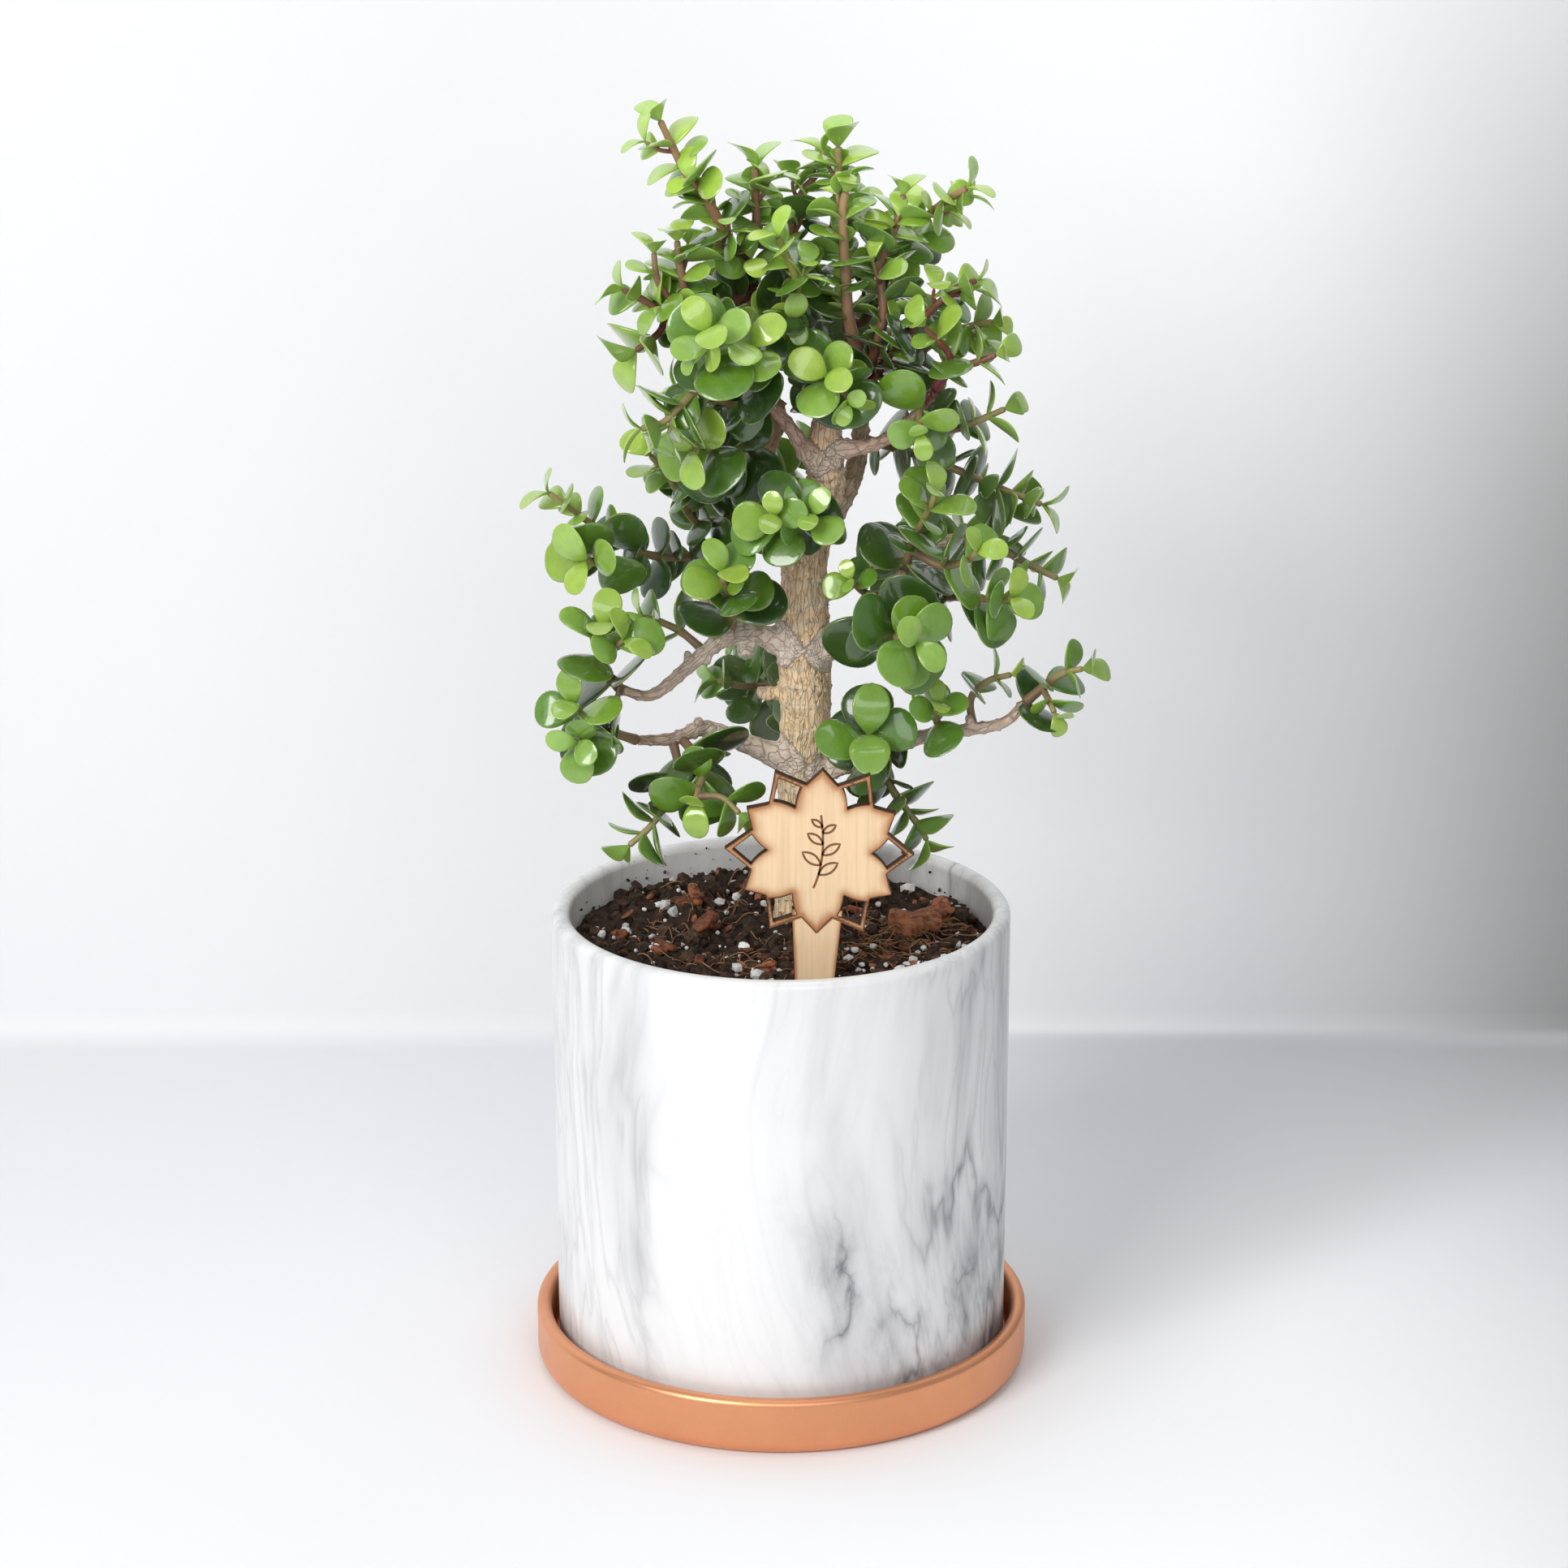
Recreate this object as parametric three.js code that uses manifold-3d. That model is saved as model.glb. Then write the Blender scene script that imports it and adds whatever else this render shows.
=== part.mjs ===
// A dwarf jade plant (elephant bush) grown as a small tree in a straight-sided marbled pot,
// with a copper saucer under the pot and a flower-shaped wooden pick in the soil.
// Millimetres, +Z up, front towards -Y. The origin is the middle of the saucer's underside.
import * as THREE from 'three';
import { mergeVertices } from 'three/addons/utils/BufferGeometryUtils.js';
import Module from 'manifold-3d';

const wasm = await Module();
wasm.setup();

// ---------------------------------------------------------------- driving dimensions
const SEAT = 0.3;                      // clearance between pieces that rest on or grow from each other
const SAUCER_RADIUS = 82.3;
const SAUCER_HEIGHT = 19.4;
const SAUCER_WALL = 4.8;
const SAUCER_FLOOR = 5;
const SAUCER_CORNER = 5;               // rounding under the saucer's edge
const POT_RADIUS = 75;
const POT_TOP = 158.3;                 // height of the lip above the ground
const POT_WALL = 6;
const POT_FLOOR = 8;
const DRAIN_RADIUS = 7;
const SOIL_LEVEL = 145.5;              // where the soil meets the pot wall
const SOIL_MOUND = 1.6;                // how much higher the soil is round the trunk
const PICK_PLATE = 3;                  // thickness of the pick's plywood
const PICK_FRONT = -49.5;              // the pick's front face
const PICK_MIDDLE = [12, 192.5];       // middle of the flower: across and up
const PETAL_TIP = 26.8;
const FRAME_TIP = 29.6;
const PICK_LEAN = THREE.MathUtils.degToRad(2);
// the flower, as distances from its middle and angles (in radians) from the middle of a petal or a frame
const PETALS = 6;
const PETAL_FLANK = 22.4;
const FLANK_ANGLE = 0.2;
const PETAL_NOTCH = 23.1;
const NOTCH_ANGLE = 0.27;
const FRAME_BAR = 2.6;                 // how far a window's outer corner is inside its frame's tip
const WINDOW_MIDDLE = 21.9;
const WINDOW_INNER = 16.5;
const WINDOW_ANGLE = 0.2;
const STAKE_START = 18;                // the stake starts this far below the flower's middle
const STAKE_DEPTH = 74;
const STAKE_POINT = 12;
const STAKE_TOP = 8;                   // half widths
const STAKE_FOOT = 5;
const ROUND_SEGMENTS = 36;
const SOIL_SEGMENTS = 24;
const CHIP_CLEARANCE = 1.6;            // gap between the top of the soil's mound and the bark chip

const POT_FOOT = SAUCER_FLOOR + SEAT;
const SOIL_RADIUS = POT_RADIUS - POT_WALL - SEAT;

// ---------------------------------------------------------------- materials
function paint(color, roughness, metalness = 0) {
  return new THREE.MeshStandardMaterial({ color, roughness, metalness });
}
const marble = paint(0xe9e9e8, 0.35);
const copper = paint(0xc9825f, 0.32, 0.85);
const earth = paint(0x3a2a20, 0.95);
const barkChip = paint(0x8a4a2c, 0.9);
const birch = paint(0xd9b88c, 0.6);
const bark = paint(0x8f7a62, 0.85);
const foliage = paint(0x5f9a3c, 0.3);

// ---------------------------------------------------------------- helpers for solids
const plant = new THREE.Group();
plant.name = 'potted_dwarf_jade_plant';

function toSolid(geometry) {
  const bare = geometry.index ? geometry.clone() : geometry;
  bare.deleteAttribute('normal');
  bare.deleteAttribute('uv');
  const merged = mergeVertices(bare, 1e-4);
  const corners = merged.index.array;
  const places = merged.attributes.position;
  const kept = [];
  for (let i = 0; i < corners.length; i += 3) {
    const [a, b, c] = [corners[i], corners[i + 1], corners[i + 2]];
    if (a !== b && b !== c && c !== a) kept.push(a, b, c);
  }
  const mesh = new wasm.Mesh({
    numProp: 3,
    vertProperties: new Float32Array(places.array),
    triVerts: new Uint32Array(kept),
  });
  return new wasm.Manifold(mesh);
}

function toGeometry(solid) {
  const mesh = solid.getMesh();
  const geometry = new THREE.BufferGeometry();
  geometry.setAttribute('position', new THREE.BufferAttribute(new Float32Array(mesh.vertProperties), 3));
  geometry.setIndex(Array.from(mesh.triVerts));
  return geometry;
}

// keeps the largest shell: crossing leaf stalks can close off a pocket, and a cut can leave a crumb
function outerShell(geometry) {
  const places = geometry.attributes.position;
  const corners = geometry.index.array;
  const leader = Array.from({ length: places.count }, (_, i) => i);
  const find = (i) => {
    while (leader[i] !== i) {
      leader[i] = leader[leader[i]];
      i = leader[i];
    }
    return i;
  };
  for (let i = 0; i < corners.length; i += 3) {
    leader[find(corners[i])] = find(corners[i + 1]);
    leader[find(corners[i + 1])] = find(corners[i + 2]);
  }
  const shells = new Map();
  const corner = (i) => new THREE.Vector3().fromBufferAttribute(places, i);
  for (let i = 0; i < corners.length; i += 3) {
    const [a, b, c] = [corners[i], corners[i + 1], corners[i + 2]];
    const shell = shells.get(find(a)) ?? { volume: 0, triangles: [] };
    shell.volume += corner(a).dot(corner(b).cross(corner(c))) / 6;
    shell.triangles.push(a, b, c);
    shells.set(find(a), shell);
  }
  const largest = [...shells.values()].reduce((best, shell) => (shell.volume > best.volume ? shell : best));
  geometry.setIndex(largest.triangles);
  return geometry;
}

function addPiece(name, solid, material) {
  const piece = new THREE.Mesh(outerShell(toGeometry(solid)), material);
  piece.name = name;
  plant.add(piece);
}

function turned(profile) {
  // a lathe turns round +Y, so the finished shape is stood up on +Z
  const points = profile.map(([radius, height]) => new THREE.Vector2(radius, height));
  const shape = new THREE.LatheGeometry(points, ROUND_SEGMENTS);
  shape.rotateX(Math.PI / 2);
  return toSolid(shape);
}

function arc(centreRadius, centreHeight, size, fromDegrees, toDegrees, steps) {
  const points = [];
  for (let i = 0; i <= steps; i += 1) {
    const angle = THREE.MathUtils.degToRad(fromDegrees + (toDegrees - fromDegrees) * i / steps);
    points.push([centreRadius + size * Math.cos(angle), centreHeight + size * Math.sin(angle)]);
  }
  return points;
}

// ---------------------------------------------------------------- saucer and pot
function saucer() {
  const inner = SAUCER_RADIUS - SAUCER_WALL;
  const lip = SAUCER_WALL / 2;
  return turned([
    [0, 0],
    ...arc(SAUCER_RADIUS - SAUCER_CORNER, SAUCER_CORNER, SAUCER_CORNER, -90, 0, 3),
    ...arc(SAUCER_RADIUS - lip, SAUCER_HEIGHT - lip, lip, 0, 180, 4),
    [inner, SAUCER_FLOOR],
    [0, SAUCER_FLOOR],
  ]);
}

function pot() {
  const inner = POT_RADIUS - POT_WALL;
  const lip = POT_WALL / 2;
  const foot = 3;
  const profile = [
    [DRAIN_RADIUS, POT_FOOT],
    ...arc(POT_RADIUS - foot, POT_FOOT + foot, foot, -90, 0, 2),
    ...arc(POT_RADIUS - lip, POT_TOP - lip, lip, 0, 180, 5),
    [inner, POT_FOOT + POT_FLOOR],
    [DRAIN_RADIUS, POT_FOOT + POT_FLOOR],
  ];
  return turned([...profile, profile[0]]);
}

// ---------------------------------------------------------------- routes of the wood and the shoots
// A limb is [x, y, z, radius] along its middle, thick end first. Limbs and shoots that name a parent
// start on the middle of that parent and are cut back to leave the seat clearance.
const LIMBS = {
  trunk: { route: [
    [7, 17, 134, 10.5], [7, 17, 150, 9.6], [7, 17, 184, 8.4], [8, 17, 223, 8.3], [7, 17, 244, 9.3],
    [7, 17, 256, 7.9], [8, 17, 270, 7.2], [10, 17, 282, 7.4], [14, 16, 294, 6.3], [14, 14, 305, 5.8],
    [15, 12, 317, 4.8], [21, 8, 330, 3.9], [24, 6, 340, 3.4]] },
  leader_left: { parent: 'trunk', route: [
    [-1, 20, 287, 6.2], [-7, 22, 295, 6.2], [-7, 23, 303, 6], [-6, 23, 313, 5.4], [-7, 22, 318, 3.4],
    [-9, 20, 330, 3.1], [-8, 18, 346, 2.9], [-9, 16, 359, 2.5]] },
  leader_rear: { parent: 'trunk', route: [
    [15, 24, 281, 4.6], [22, 30, 291, 4.4], [25, 36, 300, 4], [26, 41, 310, 3.4], [25, 44, 323, 3],
    [22, 45, 338, 2.6], [20, 44, 352, 2.2]] },
  limb_left_mid: { parent: 'trunk', route: [
    [0, 15, 243, 4.8], [-10, 9, 247, 4.1], [-20, 3, 246, 3.4], [-29, -3, 240, 3], [-41, -10, 232, 2.5],
    [-51, -14, 235, 2]] },
  limb_left_low: { parent: 'trunk', route: [
    [0, 15, 204, 4.8], [-10, 11, 209, 4.2], [-19, 7, 214, 3.8], [-26, 3, 217, 3.2], [-35, -2, 215, 2.7],
    [-46, -7, 216, 2.1]] },
  limb_right_mid: { parent: 'trunk', route: [
    [16, 14, 241, 4.3], [23, 8, 248, 3.8], [28, 3, 255, 3.2], [35, -2, 264, 2.7], [39, -5, 272, 2.3]] },
  limb_right_low: { parent: 'trunk', route: [
    [15, 15, 200, 4], [26, 10, 204, 3.6], [39, 5, 211, 3], [50, 1, 216, 2.9], [62, -1, 218, 2.6],
    [72, -3, 221, 2.4], [78, -5, 228, 2.1]] },
  limb_right_upper: { parent: 'trunk', route: [
    [18, 12, 307, 3], [30, 6, 310, 2.7], [40, 1, 318, 2.5], [48, -3, 329, 2.3]] },
  limb_upper_left: { parent: 'trunk', route: [
    [10, 11, 304, 3.3], [3, 6, 315, 2.9], [-4, 1, 325, 2.5], [-8, -3, 330, 2.1]] },
  limb_right_rear: { parent: 'trunk', route: [
    [13, 27, 255, 3.6], [26, 36, 262, 3.2], [42, 42, 268, 2.8], [58, 45, 270, 2.3]] },
  limb_rear_high: { parent: 'trunk', route: [
    [4, 27, 264, 3.6], [-3, 46, 268, 3.2], [-16, 60, 273, 2.4]] },
};
const TRUNK_STUB = [[7, 17, 225, 2.3], [-5, 17, 225, 2.2], [-9, 17, 225.5, 2]];   // a pruned side shoot

// A stem is its route, its radius at both ends, its leaf lengths at the foot and at the tip, the gap
// between leaf pairs, the bare length before the first pair, and the turn of its first pair in degrees.
function stem(route, thickness, leafLengths, gap, bare, turn) {
  return { route, thickness, leafLengths, gap, bare, turn };
}

const SHOOTS = {
  // crown
  shoot_top_left: { parent: 'leader_left', stems: [
    stem([[-16, 6, 374], [-23, 2, 388], [-29, 0, 396], [-33, -2, 404], [-37, -4, 413]],
      [2.4, 1.2], [13, 10], 13, 22, 80),
    stem([[-8, 13, 373], [-8, 14, 386], [-8, 14, 396]], [2, 1.3], [13, 12], 10, 10, 0)] },
  shoot_crown_middle: { parent: 'trunk', stems: [
    stem([[10, 22, 330], [6, 26, 343], [7, 30, 357], [3, 34, 370], [6, 38, 383], [12, 40, 391]],
      [3.2, 1.2], [14, 11], 11, 12, 0)] },
  shoot_top_centre: { parent: 'trunk', stems: [
    stem([[21, 3, 351], [20, 1, 367], [19, -1, 384], [20, -2, 391]], [2.6, 1.3], [15, 8], 13, 5, 5)] },
  shoot_top_centre_rear: { parent: 'leader_rear', stems: [
    stem([[17, 34, 372], [18, 28, 388], [18, 26, 401]], [2.1, 1.4], [13, 13], 9, 14, 10)] },
  shoot_top_right: { parent: 'trunk', stems: [
    stem([[27, 4, 334], [32, 3, 351], [31, 6, 366], [36, 6, 380], [38, 6, 389]],
      [2.4, 1.2], [13, 9], 11, 12, 70)] },
  shoot_top_right_outer: { parent: 'leader_rear', stems: [
    stem([[27, 41, 343], [34, 35, 359], [42, 24, 375], [51, 16, 385], [58, 12, 390]],
      [2.2, 1.3], [12, 9], 12, 16, 0)] },
  shoot_front_olive: { parent: 'leader_left', stems: [
    stem([[2, 0, 352], [5, -8, 363], [1, -12, 374], [-1, -14, 379]], [1.8, 1.2], [13, 9], 9, 10, 20)] },
  shoot_left_upper: { parent: 'leader_left', stems: [
    stem([[-21, 2, 353], [-28, -4, 356], [-31, -8, 368], [-32, -9, 377]], [2.2, 1.1], [12, 9], 10, 8, 0),
    stem([[-34, -9, 359], [-38, -12, 365], [-39, -13, 374]], [1.5, 1], [11, 9], 9, 5, 60)] },
  shoot_left_tips: { parent: 'leader_left', stems: [
    stem([[-21, 4, 343], [-33, -4, 351], [-42, -8, 358], [-49, -10, 362]], [2, 1.1], [12, 10], 9, 12, 30),
    stem([[-38, -8, 348], [-45, -11, 343]], [1.4, 1.1], [17, 14], 10, 6, 60)] },
  shoot_front_left: { parent: 'limb_upper_left', stems: [
    stem([[-14, -16, 340], [-19, -28, 347], [-22, -37, 354]], [1.9, 1.2], [16, 12], 8, 10, 35),
    stem([[-11, -24, 344], [-9, -30, 348]], [1.3, 1.1], [17, 12], 7, 4, 80)] },
  shoot_front_left_low: { parent: 'limb_upper_left', stems: [
    stem([[-9, -1, 322], [-17, -12, 327], [-25, -22, 333], [-31, -28, 329], [-37, -31, 324], [-43, -32, 323]],
      [1.8, 1.1], [14, 10], 9, 6, 10)] },
  shoot_left_leader_side: { parent: 'leader_left', stems: [
    stem([[-19, 2, 308], [-24, -8, 313], [-28, -17, 313]], [1.8, 1.2], [17, 11], 9, 5, 40)] },
  shoot_left_leader_back: { parent: 'leader_left', stems: [
    stem([[-17, 42, 311], [-26, 48, 314], [-34, 50, 319]], [1.9, 1.1], [14, 10], 9, 8, 0),
    stem([[-18, 54, 318], [-16, 64, 326]], [1.5, 1.1], [14, 10], 9, 4, 30)] },
  shoot_crown_front: { parent: 'trunk', stems: [
    stem([[17, -10, 333], [14, -19, 337]], [1.6, 1.1], [17, 12], 8, 8, 60),
    stem([[21, -16, 329], [21, -20, 328]], [1.1, 0.9], [11, 7], 6, 3, 10)] },
  shoot_right_1: { parent: 'trunk', stems: [
    stem([[28, 10, 329], [36, 8, 341], [46, 4, 352], [54, 2, 360], [61, 1, 363]],
      [2, 1.1], [13, 8], 9, 8, 20)] },
  shoot_right_2: { parent: 'leader_rear', stems: [
    stem([[39, 34, 331], [51, 26, 340], [60, 20, 345], [67, 17, 347]], [2, 1.1], [13, 8], 9, 8, 50)] },
  shoot_right_3: { parent: 'limb_right_upper', stems: [
    stem([[53, -4, 336], [60, -5, 338], [67, -6, 341]], [2, 1.1], [12, 9], 9, 4, 0),
    stem([[51, -8, 343], [44, -12, 351]], [1.4, 1], [12, 9], 9, 4, 45)] },
  shoot_right_4: { parent: 'limb_right_upper', stems: [
    stem([[52, 8, 314], [62, 8, 317], [71, 8, 321]], [1.7, 1.1], [13, 10], 9, 8, 60)] },
  shoot_right_drop: { parent: 'limb_right_upper', stems: [
    stem([[43, -9, 323], [43, -20, 319]], [1.3, 1], [14, 9], 8, 4, 20)] },
  // middle
  shoot_front_centre: { parent: 'trunk', stems: [
    stem([[2, -4, 287], [-1, -14, 290], [-2, -20, 293]], [1.7, 1.1], [16, 9], 8, 12, 15),
    stem([[8, -6, 286], [10, -13, 290], [10, -18, 293]], [1.5, 1], [14, 9], 8, 6, 75)] },
  shoot_right_rear_1: { parent: 'leader_rear', stems: [
    stem([[39, 44, 300], [55, 40, 295], [71, 36, 289], [85, 33, 284]], [2, 1.1], [14, 11], 9, 10, 10)] },
  shoot_right_rear_2: { parent: 'limb_right_rear', stems: [
    stem([[70, 43, 268], [82, 40, 262], [91, 38, 258]], [2, 1.2], [14, 10], 9, 5, 40),
    stem([[74, 50, 275], [80, 52, 280]], [1.3, 1], [13, 10], 8, 3, 10)] },
  shoot_right_front: { parent: 'limb_right_mid', stems: [
    stem([[42, -10, 283], [46, -14, 293], [48, -17, 299]], [1.7, 1.1], [16, 10], 9, 6, 0),
    stem([[50, -12, 275], [58, -18, 278], [61, -22, 282]], [1.8, 1.1], [17, 9], 9, 8, 30)] },
  shoot_right_outer: { parent: 'limb_right_mid', stems: [
    stem([[49, 4, 261], [60, -2, 262], [69, -9, 263], [73, -14, 265]], [1.9, 1.1], [16, 10], 9, 10, 45)] },
  shoot_right_rosette: { parent: 'limb_right_mid', stems: [
    stem([[33, -16, 255], [39, -28, 255], [42, -34, 256]], [1.9, 1.2], [18, 12], 8, 12, 38)] },
  shoot_small_rosette: { parent: 'limb_right_mid', stems: [
    stem([[26, -7, 265], [22, -14, 271]], [1.5, 0.9], [11, 7], 6, 7, 20)] },
  shoot_far_left: { parent: 'limb_rear_high', stems: [
    stem([[-26, 44, 265], [-43, 26, 269], [-57, 16, 279], [-67, 10, 288], [-74, 7, 294]],
      [2, 1.1], [12, 9], 11, 30, 5),
    stem([[-57, 2, 273], [-62, -6, 275]], [1.5, 1.1], [15, 13], 7, 6, 35)] },
  shoot_left_green: { parent: 'limb_rear_high', stems: [
    stem([[-13, 48, 276], [-26, 40, 276], [-31, 34, 282], [-35, 28, 292], [-42, 22, 303]],
      [1.7, 1.1], [12, 10], 9, 14, 70)] },
  shoot_left_mid_top: { parent: 'limb_left_mid', stems: [
    stem([[-15, -4, 260], [-18, -12, 269], [-18, -17, 274]], [2.4, 1.2], [15, 11], 8, 9, 40)] },
  shoot_left_mid_side: { parent: 'limb_left_mid', stems: [
    stem([[-32, 4, 249], [-39, 2, 253], [-44, 0, 255]], [1.7, 1.1], [14, 10], 8, 6, 20)] },
  shoot_left_rosette_top: { parent: 'limb_left_mid', stems: [
    stem([[-57, -17, 244], [-57, -21, 251], [-56, -26, 259]], [1.9, 1.2], [16, 11], 8, 6, 40),
    stem([[-53, -26, 252], [-49, -31, 256]], [1.2, 1], [16, 10], 7, 4, 10)] },
  shoot_left_rosette_low: { parent: 'limb_left_low', stems: [
    stem([[-55, -13, 221], [-62, -20, 227], [-65, -27, 234]], [1.9, 1.2], [17, 12], 8, 6, 30),
    stem([[-62, -24, 222], [-64, -30, 222]], [1.2, 1], [14, 10], 7, 3, 70)] },
  shoot_hanging_left: { parent: 'limb_left_low', stems: [
    stem([[-25, -12, 209], [-26, -20, 205], [-27, -26, 202]], [1.8, 1.1], [17, 11], 8, 9, 25),
    stem([[-19, -26, 203], [-13, -31, 199]], [1.4, 1], [13, 10], 9, 7, 80)] },
  shoot_hanging_left_low: { parent: 'limb_left_low', stems: [
    stem([[-33, -6, 205], [-36, -10, 197], [-42, -13, 189], [-49, -15, 183]],
      [1.8, 1.1], [14, 11], 9, 12, 10)] },
  shoot_right_pair: { parent: 'limb_right_low', stems: [
    stem([[28, -6, 215], [28, -14, 220]], [1.6, 1.1], [18, 15], 7, 8, 10)] },
  shoot_hanging_right: { parent: 'limb_right_low', stems: [
    stem([[35, -2, 200], [40, -6, 193], [45, -9, 187], [47, -10, 183]], [1.8, 1], [13, 11], 10, 8, 60)] },
  shoot_right_low_small: { parent: 'limb_right_low', stems: [
    stem([[49, -9, 225], [50, -14, 230]], [1.5, 1], [13, 8], 7, 4, 20)] },
  shoot_right_low_tip: { parent: 'limb_right_low', stems: [
    stem([[85, -7, 235], [90, -9, 239], [96, -11, 241]], [1.9, 1.1], [12, 10], 8, 4, 50),
    stem([[86, -12, 229], [87, -14, 227]], [1.2, 1], [11, 8], 7, 3, 10)] },
  shoot_right_low_twig: { parent: 'limb_right_low', stems: [
    stem([[61, 2, 227], [66, 2, 233], [74, 0, 236]], [1.6, 1.1], [12, 9], 8, 12, 0)] },
  // rear
  shoot_rear_low: { parent: 'trunk', stems: [
    stem([[3, 50, 214], [-6, 68, 213], [-11, 84, 213], [-8, 96, 215]], [3.2, 1.1], [14, 10], 9, 46, 20),
    stem([[-13, 60, 215], [-22, 60, 217]], [1.7, 1.1], [13, 10], 8, 3, 30)] },
  shoot_rear_right: { parent: 'limb_right_rear', stems: [
    stem([[44, 60, 260], [42, 68, 256], [46, 80, 254]], [1.9, 1.1], [15, 10], 9, 8, 20),
    stem([[56, 70, 263], [66, 78, 268]], [1.5, 1.1], [14, 10], 9, 4, 60)] },
  shoot_rear_high: { parent: 'limb_rear_high', stems: [
    stem([[-20, 70, 276], [-23, 78, 280], [-22, 88, 285]], [1.8, 1.1], [15, 10], 9, 6, 50),
    stem([[-10, 78, 276], [2, 86, 282], [8, 90, 290]], [1.5, 1.1], [14, 10], 9, 5, 0)] },
  shoot_rear_crown: { parent: 'leader_rear', stems: [
    stem([[18, 60, 333], [13, 70, 342], [10, 74, 351]], [2, 1.1], [14, 10], 9, 8, 0),
    stem([[29, 72, 336], [36, 76, 341]], [1.4, 1], [14, 10], 9, 4, 40)] },
  shoot_rear_crown_left: { parent: 'shoot_crown_middle', stems: [
    stem([[-6, 44, 341], [-15, 52, 348], [-22, 56, 355]], [2, 1.1], [14, 10], 9, 8, 0)] },
};

// ---------------------------------------------------------------- growth
const LIMB_SIDES = 6;
const FACET_ALLOWANCE = 1.6;           // a cut has flat sides, so its clearance is a little larger
const STEM_SIDES = 4;
const LIMB_STEP = 10;                  // mm between rings along a limb
const STEM_STEP = 10;
const ROUTE_SAMPLES = 12;              // points worked out between two waypoints
const WOOD_STEP = 2;                   // mm between the points that leaves keep clear of

class Route {
  constructor(waypoints, radii) {
    const points = waypoints.map(([x, y, z]) => new THREE.Vector3(x, y, z));
    const curve = new THREE.CatmullRomCurve3(points, false, 'catmullrom', 0.5);
    const steps = ROUTE_SAMPLES * (points.length - 1);
    this.points = [];
    this.radii = [];
    this.reach = [0];
    for (let i = 0; i <= steps; i += 1) {
      const along = (i / steps) * (points.length - 1);
      const before = Math.min(Math.floor(along), points.length - 2);
      this.points.push(curve.getPoint(i / steps));
      this.radii.push(THREE.MathUtils.lerp(radii[before], radii[before + 1], along - before));
      if (i > 0) this.reach.push(this.reach[i - 1] + this.points[i].distanceTo(this.points[i - 1]));
    }
    this.length = this.reach[steps];
  }

  at(distance) {
    const wanted = THREE.MathUtils.clamp(distance, 0, this.length);
    let i = 1;
    while (i < this.reach.length - 1 && this.reach[i] < wanted) i += 1;
    const share = (wanted - this.reach[i - 1]) / (this.reach[i] - this.reach[i - 1]);
    return {
      place: this.points[i - 1].clone().lerp(this.points[i], share),
      heading: this.points[i].clone().sub(this.points[i - 1]).normalize(),
      radius: THREE.MathUtils.lerp(this.radii[i - 1], this.radii[i], share),
    };
  }

  nearest(place) {
    const nearer = (best, point) => (point.distanceTo(place) < best.distanceTo(place) ? point : best);
    return this.points.reduce(nearer);
  }
}

// a direction square to the heading, kept steady along the route
function squareTo(direction, heading) {
  return direction.clone().addScaledVector(heading, -direction.dot(heading)).normalize();
}

function firstSide(heading) {
  const up = new THREE.Vector3(0, 0, 1);
  const front = new THREE.Vector3(0, -1, 0);
  return squareTo(Math.abs(heading.z) < 0.8 ? up : front, heading);
}

// a closed cylinder bent along the route, with the route's radius at each ring
function tube(route, sides, step, extra = 0) {
  const rings = Math.max(2, Math.round(route.length / step));
  const shape = new THREE.CylinderGeometry(1, 1, 1, sides, rings);
  const places = shape.attributes.position;
  const frames = [];
  let side = firstSide(route.at(0).heading);
  for (let i = 0; i <= rings; i += 1) {
    const spot = route.at(route.length * i / rings);
    side = squareTo(side, spot.heading);
    frames.push({ ...spot, side, other: spot.heading.clone().cross(side) });
  }
  for (let i = 0; i < places.count; i += 1) {
    const frame = frames[Math.round((places.getY(i) + 0.5) * rings)];
    const width = frame.radius + extra;
    const corner = frame.place.clone();
    corner.addScaledVector(frame.side, places.getZ(i) * width);
    corner.addScaledVector(frame.other, places.getX(i) * width);
    places.setXYZ(i, corner.x, corner.y, corner.z);
  }
  return toSolid(shape);
}

// small repeatable variation from leaf to leaf, from the minimal standard generator
const GENERATOR_STEP = 16807;
const GENERATOR_SPAN = 2147483647;
let seed = 20407;
function vary(amount) {
  seed = (seed * GENERATOR_STEP) % GENERATOR_SPAN;
  return (seed / GENERATOR_SPAN * 2 - 1) * amount;
}

// an obovate leaf: where its outline's corners are, along and across, as shares of its length
const LEAF_OUTLINE = [[0, 0], [0.64, 0.46], [1, 0], [0.64, -0.46]];
const LEAF_CREST = 0.6;                // where the thickest point is, as a share of the length
const LEAF_THICKNESS = 0.15;           // share of the length
const LEAF_ROOT = 0.2;                 // how far past the stem's middle a leaf starts, in stem radii
const LEAF_VIGOUR = 1.25;              // scales every leaf length in the table of shoots
const PAIR_SPACING = 1.36;             // scales every gap between leaf pairs
// points of a leaf, along and across, that keep clear of its neighbours
const LEAF_FEELERS = [[0.3, 0], [0.55, -0.28], [0.55, 0.28], [0.6, 0], [0.85, -0.3], [0.85, 0.3], [1, 0]];

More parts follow.
